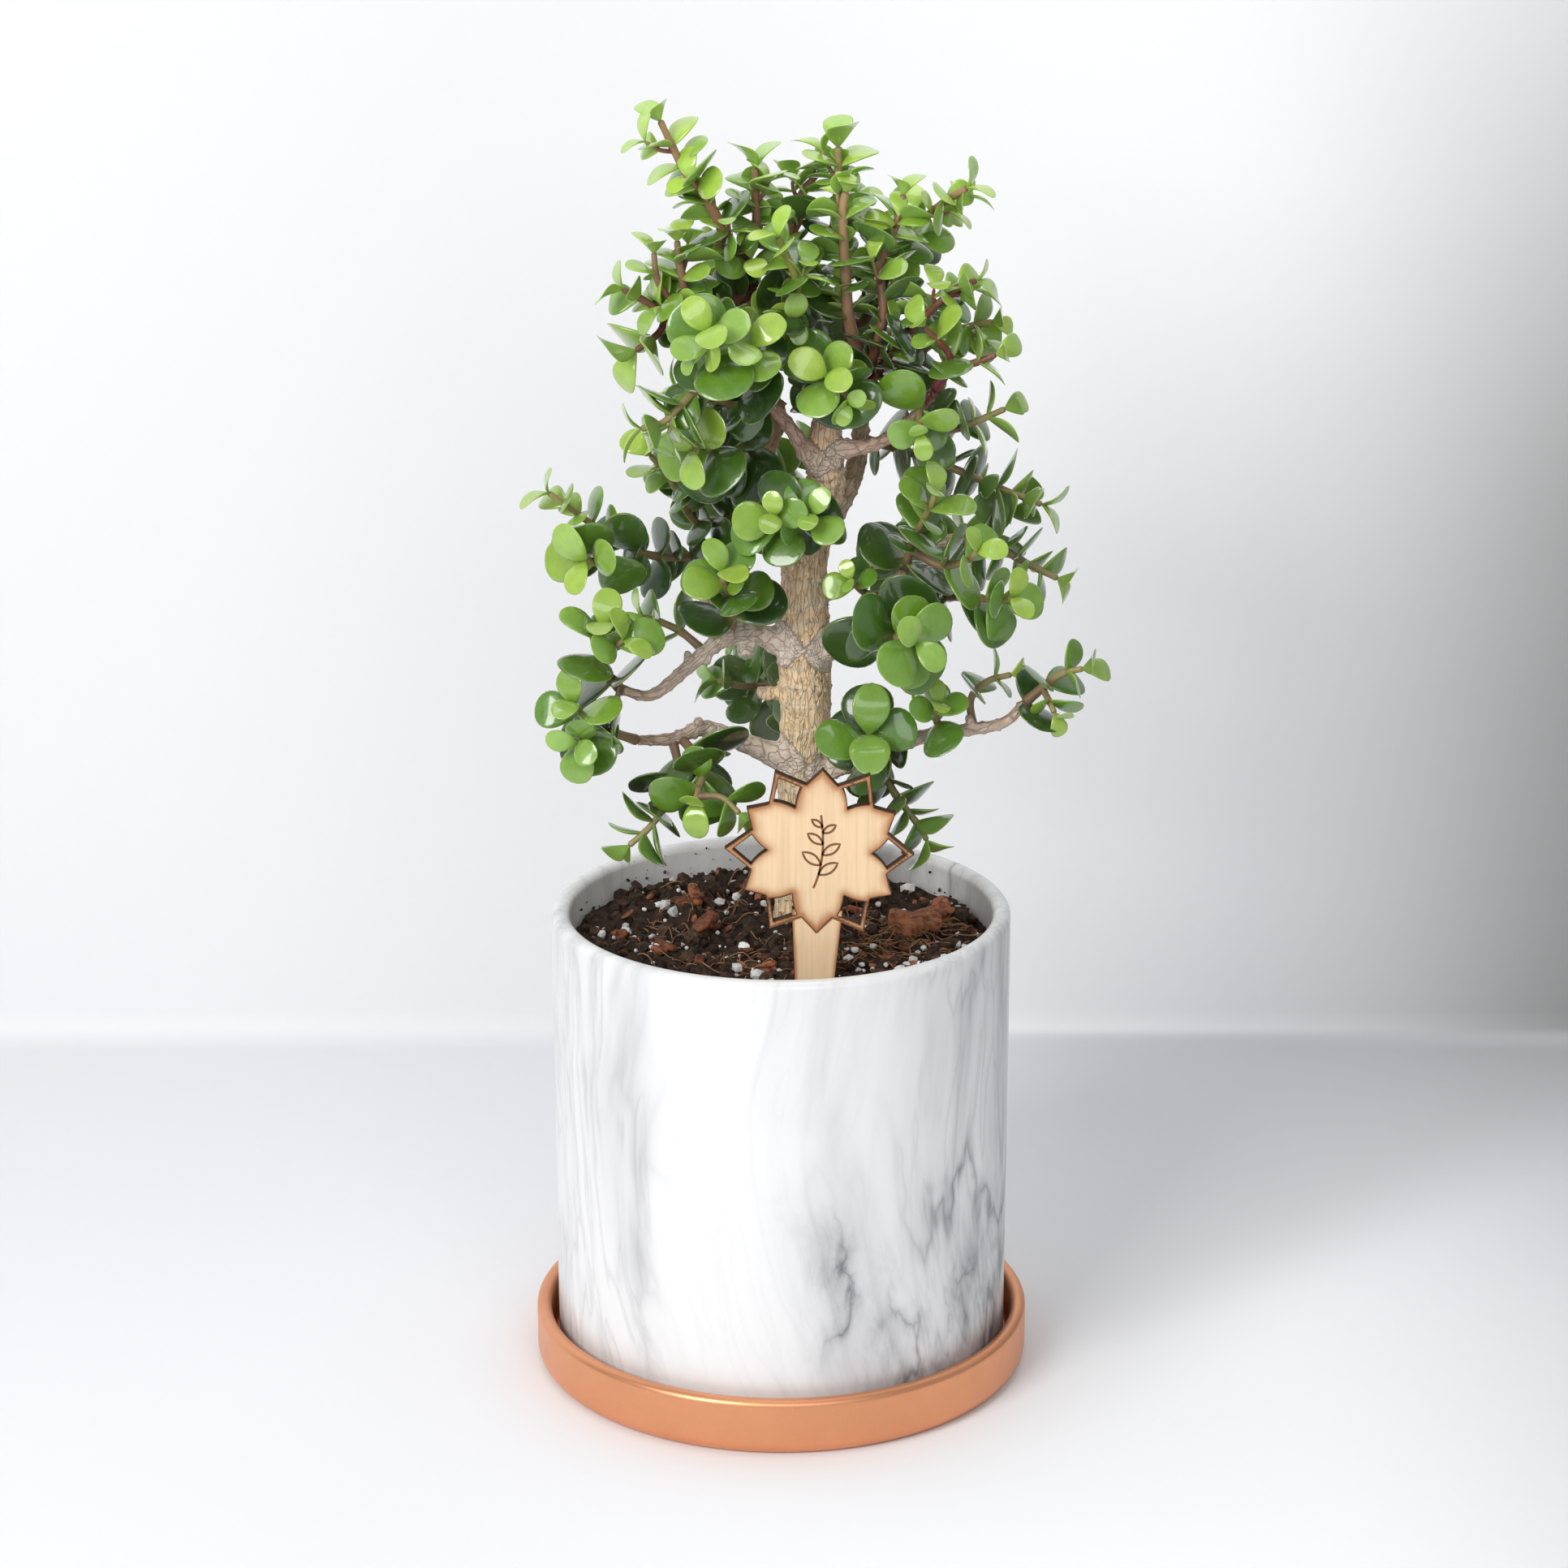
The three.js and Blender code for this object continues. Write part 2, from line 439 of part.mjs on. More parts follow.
function leafSolid(leaf) {
  const shape = new THREE.SphereGeometry(1, LEAF_OUTLINE.length, 2);
  const places = shape.attributes.position;
  for (let i = 0; i < places.count; i += 1) {
    const height = places.getY(i);
    let [along, across] = [LEAF_CREST, 0];
    if (Math.abs(height) < 0.5) {
      const turn = Math.atan2(places.getZ(i), -places.getX(i)) / (2 * Math.PI) + 1;
      [along, across] = LEAF_OUTLINE[Math.round(turn * LEAF_OUTLINE.length) % LEAF_OUTLINE.length];
    }
    const lift = Math.abs(height) < 0.5 ? 0 : -Math.sign(height) * LEAF_THICKNESS / 2;
    const corner = leafPoint(leaf, along, across, lift);
    places.setXYZ(i, corner.x, corner.y, corner.z);
  }
  return toSolid(shape);
}

function leafPoint(leaf, along, across, lift = 0) {
  return leaf.foot.clone()
    .addScaledVector(leaf.heading, along * leaf.length)
    .addScaledVector(leaf.broadside, across * leaf.length)
    .addScaledVector(leaf.face, lift * leaf.length);
}

function makeLeaf(spot, outward, opening, length, twist, owner) {
  const heading = spot.heading.clone().multiplyScalar(Math.cos(opening));
  heading.addScaledVector(outward, Math.sin(opening));
  const broadside = spot.heading.clone().cross(outward).applyAxisAngle(heading, twist);
  const face = heading.clone().cross(broadside);
  const foot = spot.place.clone().addScaledVector(outward, -spot.radius * LEAF_ROOT);
  const leaf = { foot, heading, broadside, face, length, owner };
  leaf.feelers = LEAF_FEELERS.map(([along, across]) => leafPoint(leaf, along, across));
  return leaf;
}

// what the leaves keep clear of
const wood = [];                       // points along every stem and limb: place, radius, owner, stem number
const leaves = [];
// a leaf without room is tried again turned by some degrees and scaled, in this order
const CANDIDATES = [[0, 1], [-18, 1], [16, 1], [0, 0.82], [-26, 0.82], [24, 0.82], [0, 0.64]];
const POT_MARGIN = 2.5;
const PICK_MARGIN = 4;                 // from the middle of the plate's thickness
const WOOD_MARGIN = 1.3;
const LEAF_MARGIN = 1.5;

function touchesPot(point) {
  const overPot = Math.hypot(point.x, point.y) < POT_RADIUS + POT_MARGIN;
  const besidePick = Math.abs(point.x - PICK_MIDDLE[0]) < FRAME_TIP + POT_MARGIN;
  const nearPlate = Math.abs(point.y - PICK_FRONT - PICK_PLATE / 2) < PICK_MARGIN;
  if (overPot && point.z < POT_TOP + POT_MARGIN) return true;
  return besidePick && nearPlate && point.z < PICK_MIDDLE[1] + FRAME_TIP + POT_MARGIN;
}

function hasRoom(leaf, ownStem) {
  for (const point of leaf.feelers) {
    if (touchesPot(point)) return false;
    for (const spot of wood) {
      if (spot.owner === leaf.owner && spot.stem === ownStem) continue;
      if (spot.place.distanceTo(point) < spot.radius + WOOD_MARGIN + 0.06 * leaf.length) return false;
    }
  }
  const middle = leaf.feelers[3];
  for (const other of leaves) {
    const crowding = other.owner === leaf.owner ? 0.6 : 1;
    const apart = crowding * (LEAF_MARGIN + 0.07 * (leaf.length + other.length));
    if (other.feelers[3].distanceTo(middle) > leaf.length + other.length) continue;
    for (const mine of leaf.feelers) {
      for (const theirs of other.feelers) {
        if (mine.distanceTo(theirs) < apart) return false;
      }
    }
  }
  return true;
}

const FIRST_PAIR = 0.6;                // mm from the stem's tip
const GAP_GROWTH = [0.5, 0.75, 1];     // the first gaps, as shares of the full gap
const PAIR_OPENINGS = [28, 52, 68, 76];  // degrees off the stem, from the tip down
const GROWN_PAIR = 2.5;                // leaves are full-sized from about this pair on
const TIP_SIZE = 0.82;

// opposite pairs, each pair a quarter turn from the last, largest and most open furthest from the tip
function growLeaves(owner, stemNumber, route, plan) {
  const grown = [];
  let side = firstSide(route.at(0).heading);
  side.applyAxisAngle(route.at(0).heading, THREE.MathUtils.degToRad(plan.turn));
  const [footLength, tipLength] = plan.leafLengths.map((length) => length * LEAF_VIGOUR);
  const gap = plan.gap * PAIR_SPACING;
  const bands = [FIRST_PAIR];
  while (bands[bands.length - 1] + gap * 0.45 < route.length - plan.bare) {
    const pair = bands.length;
    bands.push(bands[pair - 1] + gap * GAP_GROWTH[Math.min(pair - 1, 2)]);
  }
  bands.forEach((fromTip, pair) => {
    const spot = route.at(route.length - fromTip);
    const ripeness = Math.min(1, pair / GROWN_PAIR);
    const opening = PAIR_OPENINGS[Math.min(pair, 3)];
    for (const way of [1, -1]) {
      const outward = squareTo(side, spot.heading).multiplyScalar(way);
      outward.applyAxisAngle(spot.heading, Math.PI / 2 * (pair % 2) + vary(0.25));
      const size = THREE.MathUtils.lerp(tipLength * TIP_SIZE, footLength, ripeness) * (1 + vary(0.12));
      const swing = opening + vary(9);
      const twist = vary(0.35);
      for (const [change, scale] of CANDIDATES) {
        const angle = THREE.MathUtils.degToRad(swing + change);
        const leaf = makeLeaf(spot, outward, angle, size * scale, twist, owner);
        if (hasRoom(leaf, stemNumber)) {
          grown.push(leaf);
          leaves.push(leaf);
          break;
        }
      }
    }
  });
  return grown;
}

function plannedRoute(plan, parentRoute) {
  const first = new THREE.Vector3(...plan.route[0]);
  const foot = parentRoute.nearest(first);
  const waypoints = [foot.toArray(), ...plan.route];
  const [thick, thin] = plan.thickness;
  const radii = waypoints.map((_, i) => THREE.MathUtils.lerp(thick, thin, i / (waypoints.length - 1)));
  return new Route(waypoints, radii);
}

const routes = {};
for (const [name, limb] of Object.entries(LIMBS)) {
  const waypoints = limb.route.map(([x, y, z]) => [x, y, z]);
  const radii = limb.route.map((point) => point[3]);
  if (limb.parent) {
    const foot = routes[limb.parent][0].nearest(new THREE.Vector3(...waypoints[0]));
    waypoints.unshift(foot.toArray());
    radii.unshift(radii[0]);
  }
  routes[name] = [new Route(waypoints, radii)];
}
for (const [name, shoot] of Object.entries(SHOOTS)) {
  routes[name] = [];
  for (const plan of shoot.stems) {
    const parentRoute = routes[name][0] ?? routes[shoot.parent][0];
    routes[name].push(plannedRoute(plan, parentRoute));
  }
}
for (const [owner, stems] of Object.entries(routes)) {
  stems.forEach((route, stemNumber) => {
    for (let distance = 0; distance <= route.length; distance += WOOD_STEP) {
      const spot = route.at(distance);
      wood.push({ place: spot.place, radius: spot.radius, owner, stem: stemNumber });
    }
  });
}

// ---------------------------------------------------------------- building the plant
function inflated(name) {
  const steps = name in LIMBS ? [LIMB_SIDES, LIMB_STEP] : [STEM_SIDES, STEM_STEP];
  return tube(routes[name][0], ...steps, SEAT * FACET_ALLOWANCE);
}

const limbSolids = {};
for (const [name, limb] of Object.entries(LIMBS)) {
  let solid = tube(routes[name][0], LIMB_SIDES, LIMB_STEP);
  if (limb.parent) solid = solid.subtract(inflated(limb.parent));
  limbSolids[name] = solid;
}
const stubRoute = new Route(TRUNK_STUB.map(([x, y, z]) => [x, y, z]), TRUNK_STUB.map((point) => point[3]));
limbSolids.trunk = limbSolids.trunk.add(tube(stubRoute, STEM_SIDES, STEM_STEP));
const shootSolids = {};
for (const [name, shoot] of Object.entries(SHOOTS)) {
  let solid = null;
  shoot.stems.forEach((plan, stemNumber) => {
    const route = routes[name][stemNumber];
    const stemSolid = tube(route, STEM_SIDES, STEM_STEP);
    solid = solid ? solid.add(stemSolid) : stemSolid;
    for (const leaf of growLeaves(name, stemNumber, route, plan)) solid = solid.add(leafSolid(leaf));
  });
  shootSolids[name] = solid.subtract(inflated(shoot.parent));
}

// ---------------------------------------------------------------- pick, soil, chips
function flowerOutline() {
  const outline = new THREE.Shape();
  const corner = (radius, angle) => [radius * Math.cos(angle), radius * Math.sin(angle)];
  const step = 2 * Math.PI / PETALS;
  for (let i = 0; i < PETALS; i += 1) {
    const petal = Math.PI / 2 + i * step;
    const frame = petal + step / 2;
    if (i === 0) outline.moveTo(...corner(PETAL_TIP, petal));
    outline.quadraticCurveTo(
      ...corner(PETAL_FLANK, petal + FLANK_ANGLE),
      ...corner(PETAL_NOTCH, petal + NOTCH_ANGLE),
    );
    outline.lineTo(...corner(FRAME_TIP, frame));
    outline.lineTo(...corner(PETAL_NOTCH, petal + step - NOTCH_ANGLE));
    outline.quadraticCurveTo(
      ...corner(PETAL_FLANK, petal + step - FLANK_ANGLE),
      ...corner(PETAL_TIP, petal + step),
    );
    const window = new THREE.Path();
    window.moveTo(...corner(FRAME_TIP - FRAME_BAR, frame));
    window.lineTo(...corner(WINDOW_MIDDLE, frame - WINDOW_ANGLE));
    window.lineTo(...corner(WINDOW_INNER, frame));
    window.lineTo(...corner(WINDOW_MIDDLE, frame + WINDOW_ANGLE));
    window.closePath();
    outline.holes.push(window);
  }
  return outline;
}

function stakeOutline(extra) {
  const [wide, narrow, deep] = [STAKE_TOP + extra, STAKE_FOOT + extra, -STAKE_DEPTH - extra];
  const outline = new THREE.Shape();
  outline.moveTo(-wide, -STAKE_START);
  outline.lineTo(-narrow, deep + STAKE_POINT);
  outline.lineTo(0, deep);
  outline.lineTo(narrow, deep + STAKE_POINT);
  outline.lineTo(wide, -STAKE_START);
  outline.closePath();
  return outline;
}

// the whole pick, or only its stake grown by extra, to cut its slot in the soil
function pickSolid(extra = 0) {
  const settings = { depth: PICK_PLATE + 2 * extra, bevelEnabled: false, curveSegments: 2 };
  const [across, up] = PICK_MIDDLE;
  const stand = new THREE.Matrix4().makeTranslation(across, PICK_FRONT + PICK_PLATE + extra, up);
  stand.multiply(new THREE.Matrix4().makeRotationY(PICK_LEAN));
  stand.multiply(new THREE.Matrix4().makeRotationX(Math.PI / 2));
  const stake = new THREE.ExtrudeGeometry(stakeOutline(extra), settings);
  stake.applyMatrix4(stand);
  if (extra > 0) return toSolid(stake);
  const flower = new THREE.ExtrudeGeometry(flowerOutline(), settings);
  flower.applyMatrix4(stand);
  return toSolid(flower).add(toSolid(stake));
}

// shallow lumps, up to about a millimetre either way
function soilRelief(x, y) {
  const coarse = Math.sin(x * 0.21 + 1.3) * Math.cos(y * 0.17);
  const slanting = Math.sin(x * 0.09 - y * 0.24);
  return 0.8 * coarse + 0.5 * slanting;
}

function soil() {
  const foot = POT_FOOT + POT_FLOOR + SEAT;
  const rings = [0.25, 0.5, 0.75, 0.92];   // shares of the soil's radius
  const profile = [[0, foot], [SOIL_RADIUS, foot], [SOIL_RADIUS, SOIL_LEVEL]];
  for (const share of [...rings].reverse()) {
    profile.push([SOIL_RADIUS * share, SOIL_LEVEL + SOIL_MOUND * (1 - share)]);
  }
  profile.push([0, SOIL_LEVEL + SOIL_MOUND]);
  const points = profile.map(([radius, height]) => new THREE.Vector2(radius, height));
  const shape = new THREE.LatheGeometry(points, SOIL_SEGMENTS);
  shape.rotateX(Math.PI / 2);
  const places = shape.attributes.position;
  for (let i = 0; i < places.count; i += 1) {
    const [x, y, z] = [places.getX(i), places.getY(i), places.getZ(i)];
    const onTop = z > foot + 1;
    const byWall = Math.hypot(x, y) > SOIL_RADIUS * 0.98;
    if (onTop && !byWall) places.setZ(i, z + soilRelief(x, y));
  }
  return toSolid(shape).subtract(inflated('trunk')).subtract(pickSolid(SEAT));
}

// a flake of bark with irregular corners, lying just above the soil
function chip(x, y, length, width, thickness, turn) {
  const outline = new THREE.Shape();
  outline.moveTo(-length / 2, -width * 0.3);
  outline.lineTo(length * 0.1, -width / 2);
  outline.lineTo(length / 2, -width * 0.1);
  outline.lineTo(length * 0.35, width * 0.42);
  outline.lineTo(-length * 0.3, width / 2);
  outline.closePath();
  const shape = new THREE.ExtrudeGeometry(outline, { depth: thickness, bevelEnabled: false });
  shape.rotateZ(turn);
  shape.translate(x, y, SOIL_LEVEL + SOIL_MOUND + CHIP_CLEARANCE);
  return toSolid(shape);
}

addPiece('saucer', saucer(), copper);
addPiece('pot', pot(), marble);
addPiece('soil', soil(), earth);
addPiece('bark_chip', chip(44, 6, 19, 12, 4, 0.5), barkChip);
addPiece('plant_pick', pickSolid(), birch);
for (const [name, solid] of Object.entries(limbSolids)) addPiece(name, solid, bark);
for (const [name, solid] of Object.entries(shootSolids)) addPiece(name, solid, foliage);

export default plant;
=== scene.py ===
"""A potted dwarf jade plant: marbled pot, copper saucer, potting mix, wooden pick and the plant itself.

The pieces are built in metres, +Z up, front towards -Y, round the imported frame. The tables of the plant, the
soil's chunks and the pick are in millimetres.
"""
import math
import random

import bmesh
import bpy
import numpy as np
from mathutils import Matrix, Vector, kdtree, noise


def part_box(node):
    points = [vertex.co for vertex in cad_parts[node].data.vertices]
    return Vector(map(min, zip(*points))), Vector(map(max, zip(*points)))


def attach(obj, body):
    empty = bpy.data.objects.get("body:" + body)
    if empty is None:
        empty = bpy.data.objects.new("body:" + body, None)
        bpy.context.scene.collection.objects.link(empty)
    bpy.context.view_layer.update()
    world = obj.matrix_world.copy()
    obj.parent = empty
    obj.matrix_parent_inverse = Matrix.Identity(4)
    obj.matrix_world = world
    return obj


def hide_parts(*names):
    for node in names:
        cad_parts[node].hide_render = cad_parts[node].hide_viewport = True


bl_info = {
    "name": "Potted Dwarf Jade",
    "version": (1, 0, 0),
    "blender": (4, 5, 0),
    "location": "3D Viewport > Sidebar > Jade",
    "description": "Builds a potted dwarf jade plant round its packed frame",
    "category": "Object",
}

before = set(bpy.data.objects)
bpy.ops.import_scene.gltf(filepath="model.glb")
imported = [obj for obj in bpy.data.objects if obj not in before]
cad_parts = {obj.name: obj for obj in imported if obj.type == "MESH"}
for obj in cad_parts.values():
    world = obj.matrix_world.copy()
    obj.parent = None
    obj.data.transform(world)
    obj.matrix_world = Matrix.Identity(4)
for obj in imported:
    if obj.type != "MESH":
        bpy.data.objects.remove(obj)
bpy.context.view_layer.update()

MM = 0.001
SAUCER_LOW, SAUCER_HIGH = (Vector(corner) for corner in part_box("saucer"))
POT_LOW, POT_HIGH = (Vector(corner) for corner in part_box("pot"))
SOIL_LOW, SOIL_HIGH = (Vector(corner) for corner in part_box("soil"))
PICK_LOW = Vector(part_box("plant_pick")[0])
CHIP_LOW, CHIP_HIGH = (Vector(corner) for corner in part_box("bark_chip"))
PICK_THICKNESS = 0.003
PICK_MIDDLE = (12, 192.5)        # across and up, in millimetres
PICK_FRAME_TIP = 29.6            # middle of the flower to an open frame's tip, in millimetres
SAUCER_RADIUS = (SAUCER_HIGH.x - SAUCER_LOW.x) / 2
POT_RADIUS = (POT_HIGH.x - POT_LOW.x) / 2
TURN_STEPS = 144


# ---------------------------------------------------------------- sizes and colours a user may change
class PotSettings(bpy.types.PropertyGroup):
    wall: bpy.props.FloatProperty(
        name="Wall", description="Thickness of the pot's wall", default=6 * MM, unit="LENGTH")
    floor: bpy.props.FloatProperty(
        name="Floor", description="Thickness of the pot's floor", default=8 * MM, unit="LENGTH")
    drain: bpy.props.FloatProperty(
        name="Drain radius", description="Radius of the drain hole", default=7 * MM, unit="LENGTH")
    glaze: bpy.props.FloatVectorProperty(
        name="Glaze", description="Ground colour of the glaze", default=(0.83, 0.83, 0.835),
        size=3, subtype="COLOR")
    vein: bpy.props.FloatVectorProperty(
        name="Vein", description="Colour of the marble veins", default=(0.17, 0.175, 0.19),
        size=3, subtype="COLOR")


class SaucerSettings(bpy.types.PropertyGroup):
    wall: bpy.props.FloatProperty(
        name="Wall", description="Thickness of the saucer's rim", default=4.8 * MM, unit="LENGTH")
    floor: bpy.props.FloatProperty(
        name="Floor", description="Thickness of the saucer's floor", default=5 * MM, unit="LENGTH")
    corner: bpy.props.FloatProperty(
        name="Corner", description="Rounding under the saucer's edge", default=5 * MM, unit="LENGTH")
    copper: bpy.props.FloatVectorProperty(
        name="Copper", description="Colour of the metallic coating", default=(0.8, 0.36, 0.185),
        size=3, subtype="COLOR")


class SoilSettings(bpy.types.PropertyGroup):
    perlite: bpy.props.IntProperty(
        name="Perlite", description="How many white perlite grains lie on the soil", default=210)
    flakes: bpy.props.IntProperty(
        name="Bark flakes", description="How many bark flakes lie on the soil", default=95)
    fibres: bpy.props.IntProperty(
        name="Fibres", description="How many coir fibres lie on the soil", default=210)
    crumbs: bpy.props.IntProperty(
        name="Crumbs", description="How many crumbs of soil lie loose", default=1700)
    earth: bpy.props.FloatVectorProperty(
        name="Earth", description="Colour of the damp soil", default=(0.026, 0.016, 0.011),
        size=3, subtype="COLOR")


class PickSettings(bpy.types.PropertyGroup):
    petal_tip: bpy.props.FloatProperty(
        name="Petal tip", description="Middle of the flower to a petal's tip", default=26.8 * MM,
        unit="LENGTH")
    frame_tip: bpy.props.FloatProperty(
        name="Frame tip", description="Middle of the flower to an open frame's tip",
        default=PICK_FRAME_TIP * MM, unit="LENGTH")
    lean: bpy.props.FloatProperty(
        name="Lean", description="Sideways lean of the pick", default=math.radians(2), unit="ROTATION")
    birch: bpy.props.FloatVectorProperty(
        name="Birch", description="Colour of the clean plywood", default=(0.83, 0.61, 0.38),
        size=3, subtype="COLOR")
    scorch: bpy.props.FloatVectorProperty(
        name="Scorch", description="Colour of the burnt edge", default=(0.05, 0.018, 0.008),
        size=3, subtype="COLOR")


class WoodSettings(bpy.types.PropertyGroup):
    voxel: bpy.props.FloatProperty(
        name="Voxel", description="Grain of the surface that blends the limbs together", default=0.75 * MM,
        unit="LENGTH")
    fissure: bpy.props.FloatProperty(
        name="Fissure", description="Depth of the bark's fissures", default=0.9 * MM, unit="LENGTH")
    collar: bpy.props.FloatProperty(
        name="Collar", description="Height of the rings round the wood", default=0.9 * MM, unit="LENGTH")


class LeafSettings(bpy.types.PropertyGroup):
    half_width: bpy.props.FloatProperty(
        name="Half width", description="Half a leaf's width, as a share of its length", default=0.475)
    half_thickness: bpy.props.FloatProperty(
        name="Half thickness", description="Half a leaf's thickness, as a share of its length", default=0.072)
    young: bpy.props.FloatVectorProperty(
        name="Young", description="Colour of leaves at the tips", default=(0.32, 0.49, 0.07),
        size=3, subtype="COLOR")
    grown: bpy.props.FloatVectorProperty(
        name="Grown", description="Colour of grown leaves", default=(0.13, 0.275, 0.022),
        size=3, subtype="COLOR")
    old: bpy.props.FloatVectorProperty(
        name="Old", description="Colour of the oldest leaves", default=(0.027, 0.072, 0.008),
        size=3, subtype="COLOR")


class StageSettings(bpy.types.PropertyGroup):
    camera_height: bpy.props.FloatProperty(
        name="Camera height", description="Height of the camera", default=0.5623, unit="LENGTH")
    camera_distance: bpy.props.FloatProperty(
        name="Camera distance", description="How far in front of the pot the camera stands", default=1.1595,
        unit="LENGTH")
    camera_tilt: bpy.props.FloatProperty(
        name="Camera tilt", description="How far the camera looks down", default=math.radians(17.39),
        unit="ROTATION")
    lens: bpy.props.FloatProperty(
        name="Lens", description="Focal length in millimetres", default=86.18)
    wall_distance: bpy.props.FloatProperty(
        name="Wall distance", description="How far behind the pot the backdrop rises", default=0.285,
        unit="LENGTH")


# ---------------------------------------------------------------- small helpers
def mesh_of(name, bm):
    mesh = bpy.data.meshes.new(name)
    bm.to_mesh(mesh)
    bm.free()
    return mesh


def finish_piece(name, bm, materials, nodes=(), smooth=True, levels=0):
    """Turns a bmesh into an object that rides on the root body and stands for its nodes."""
    mesh = mesh_of(name, bm)
    for material in materials:
        mesh.materials.append(material)
    if smooth:
        mesh.shade_smooth()
    piece = show(name, mesh)
    if levels:
        subdivision = piece.modifiers.new("Subdivision", "SUBSURF")
        subdivision.levels = levels
        subdivision.render_levels = levels
    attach(piece, "root")
    if nodes:
        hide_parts(*nodes)
    return piece


def show(name, data):
    """Puts data into the scene as an object."""
    made = bpy.data.objects.new(name, data)
    bpy.context.scene.collection.objects.link(made)
    return made


def blend(a, b, share):
    return tuple(x + (y - x) * share for x, y in zip(a, b))


def shaded(colour, factor):
    return tuple(c * factor for c in colour)


def clamp(value, low=0.0, high=1.0):
    return max(low, min(high, value))


def arc(centre_radius, centre_height, size, from_degrees, to_degrees, steps):
    points = []
    for i in range(steps + 1):
        angle = math.radians(from_degrees + (to_degrees - from_degrees) * i / steps)
        points.append((centre_radius + size * math.cos(angle), centre_height + size * math.sin(angle)))
    return points


def turned(profile, steps=TURN_STEPS):
    """Spins a profile of (radius, height) points round the Z axis into a closed solid."""
    bm = bmesh.new()
    points = [bm.verts.new((radius, 0, height)) for radius, height in profile]
    edges = [bm.edges.new(pair) for pair in zip(points, points[1:])]
    bmesh.ops.spin(
        bm, geom=points + edges, axis=(0, 0, 1), cent=(0, 0, 0), angle=math.tau, steps=steps, use_merge=True)
    bmesh.ops.remove_doubles(bm, verts=bm.verts, dist=1e-6)
    bmesh.ops.recalc_face_normals(bm, faces=bm.faces)
    return bm


# ---------------------------------------------------------------- materials
class Shader:
    """A thin wrapper that adds and joins nodes on one material."""

    def __init__(self, name):
        self.material = bpy.data.materials.new(name)
        self.material.use_nodes = True
        self.tree = self.material.node_tree
        self.surface = self.tree.nodes["Principled BSDF"]

    def node(self, kind, **values):
        made = self.tree.nodes.new("ShaderNode" + kind)
        for key, value in values.items():
            setattr(made, key, value)
        return made

    def join(self, source, target):
        self.tree.links.new(source, target)

    def feed(self, socket, value):
        if isinstance(value, bpy.types.NodeSocket):
            self.join(value, socket)
        elif value is not None:
            socket.default_value = value

    def place(self):
        return self.node("TexCoord").outputs["Object"]

    def mapped(self, vector, scale=(1, 1, 1), turn=(0, 0, 0)):
        mapping = self.node("Mapping")
        mapping.inputs["Scale"].default_value = scale
        mapping.inputs["Rotation"].default_value = turn
        self.join(vector, mapping.inputs["Vector"])
        return mapping.outputs["Vector"]

    def split(self, vector):
        made = self.node("SeparateXYZ")
        self.join(vector, made.inputs[0])
        return made.outputs

    def noise(self, vector, scale, detail=4.0, roughness=0.55, distortion=0.0, output="Fac"):
        texture = self.node("TexNoise")
        self.join(vector, texture.inputs["Vector"])
        texture.inputs["Scale"].default_value = scale
        texture.inputs["Detail"].default_value = detail
        texture.inputs["Roughness"].default_value = roughness
        texture.inputs["Distortion"].default_value = distortion
        return texture.outputs[output]

    def math(self, operation, a, b=None, c=None, use_clamp=False):
        made = self.node("Math", operation=operation, use_clamp=use_clamp)
        for socket, value in zip(made.inputs, (a, b, c)):
            self.feed(socket, value)
        return made.outputs[0]

    def vector_math(self, operation, a, b, c=None):
        made = self.node("VectorMath", operation=operation)
        for socket, value in zip(made.inputs, (a, b, c)):
            self.feed(socket, value)
        return made.outputs[0]

    def times(self, a, b):
        return self.math("MULTIPLY", a, b)

    def span(self, value, low, high, to_low=0.0, to_high=1.0, smooth=True):
        made = self.node("MapRange", interpolation_type="SMOOTHSTEP" if smooth else "LINEAR")
        for socket, number in zip(made.inputs, (value, low, high, to_low, to_high)):
            self.feed(socket, number)
        return made.outputs["Result"]

    def mix(self, share, a, b, blend_type="MIX"):
        made = self.node("Mix", data_type="RGBA", blend_type=blend_type)
        self.feed(made.inputs["Factor"], share)
        for socket, value in zip((made.inputs[6], made.inputs[7]), (a, b)):
            self.feed(socket, value if isinstance(value, bpy.types.NodeSocket) else (*value, 1))
        return made.outputs[2]

    def attribute(self, name, output="Fac"):
        return self.node("Attribute", attribute_name=name).outputs[output]

    def bump(self, height, distance, strength=1.0, normal=None):
        made = self.node("Bump")
        made.inputs["Strength"].default_value = strength
        made.inputs["Distance"].default_value = distance
        self.join(height, made.inputs["Height"])
        if normal is not None:
            self.join(normal, made.inputs["Normal"])
        return made.outputs["Normal"]

    def set(self, **values):
        """Sets the surface's sockets by name, with _ for a space, and hands over the material."""
        for key, value in values.items():
            self.feed(self.surface.inputs[key.replace("_", " ")], value)
        return self.material


def veins(s, vector, scale, sharp, detail=3.0):
    """Thin lines where a noise crosses its middle value."""
    wave = s.noise(vector, scale, detail, 0.5)
    ridge = s.math("SUBTRACT", 1.0, s.math("ABSOLUTE", s.math("MULTIPLY_ADD", wave, 2.0, -1.0)))
    return s.math("POWER", ridge, sharp)


def hill(s, value, middle, width):
    """A smooth bump of the given width round a middle value."""
    away = s.math("DIVIDE", s.math("SUBTRACT", value, middle), width)
    return s.math("EXPONENT", s.times(s.times(away, away), -1.0))


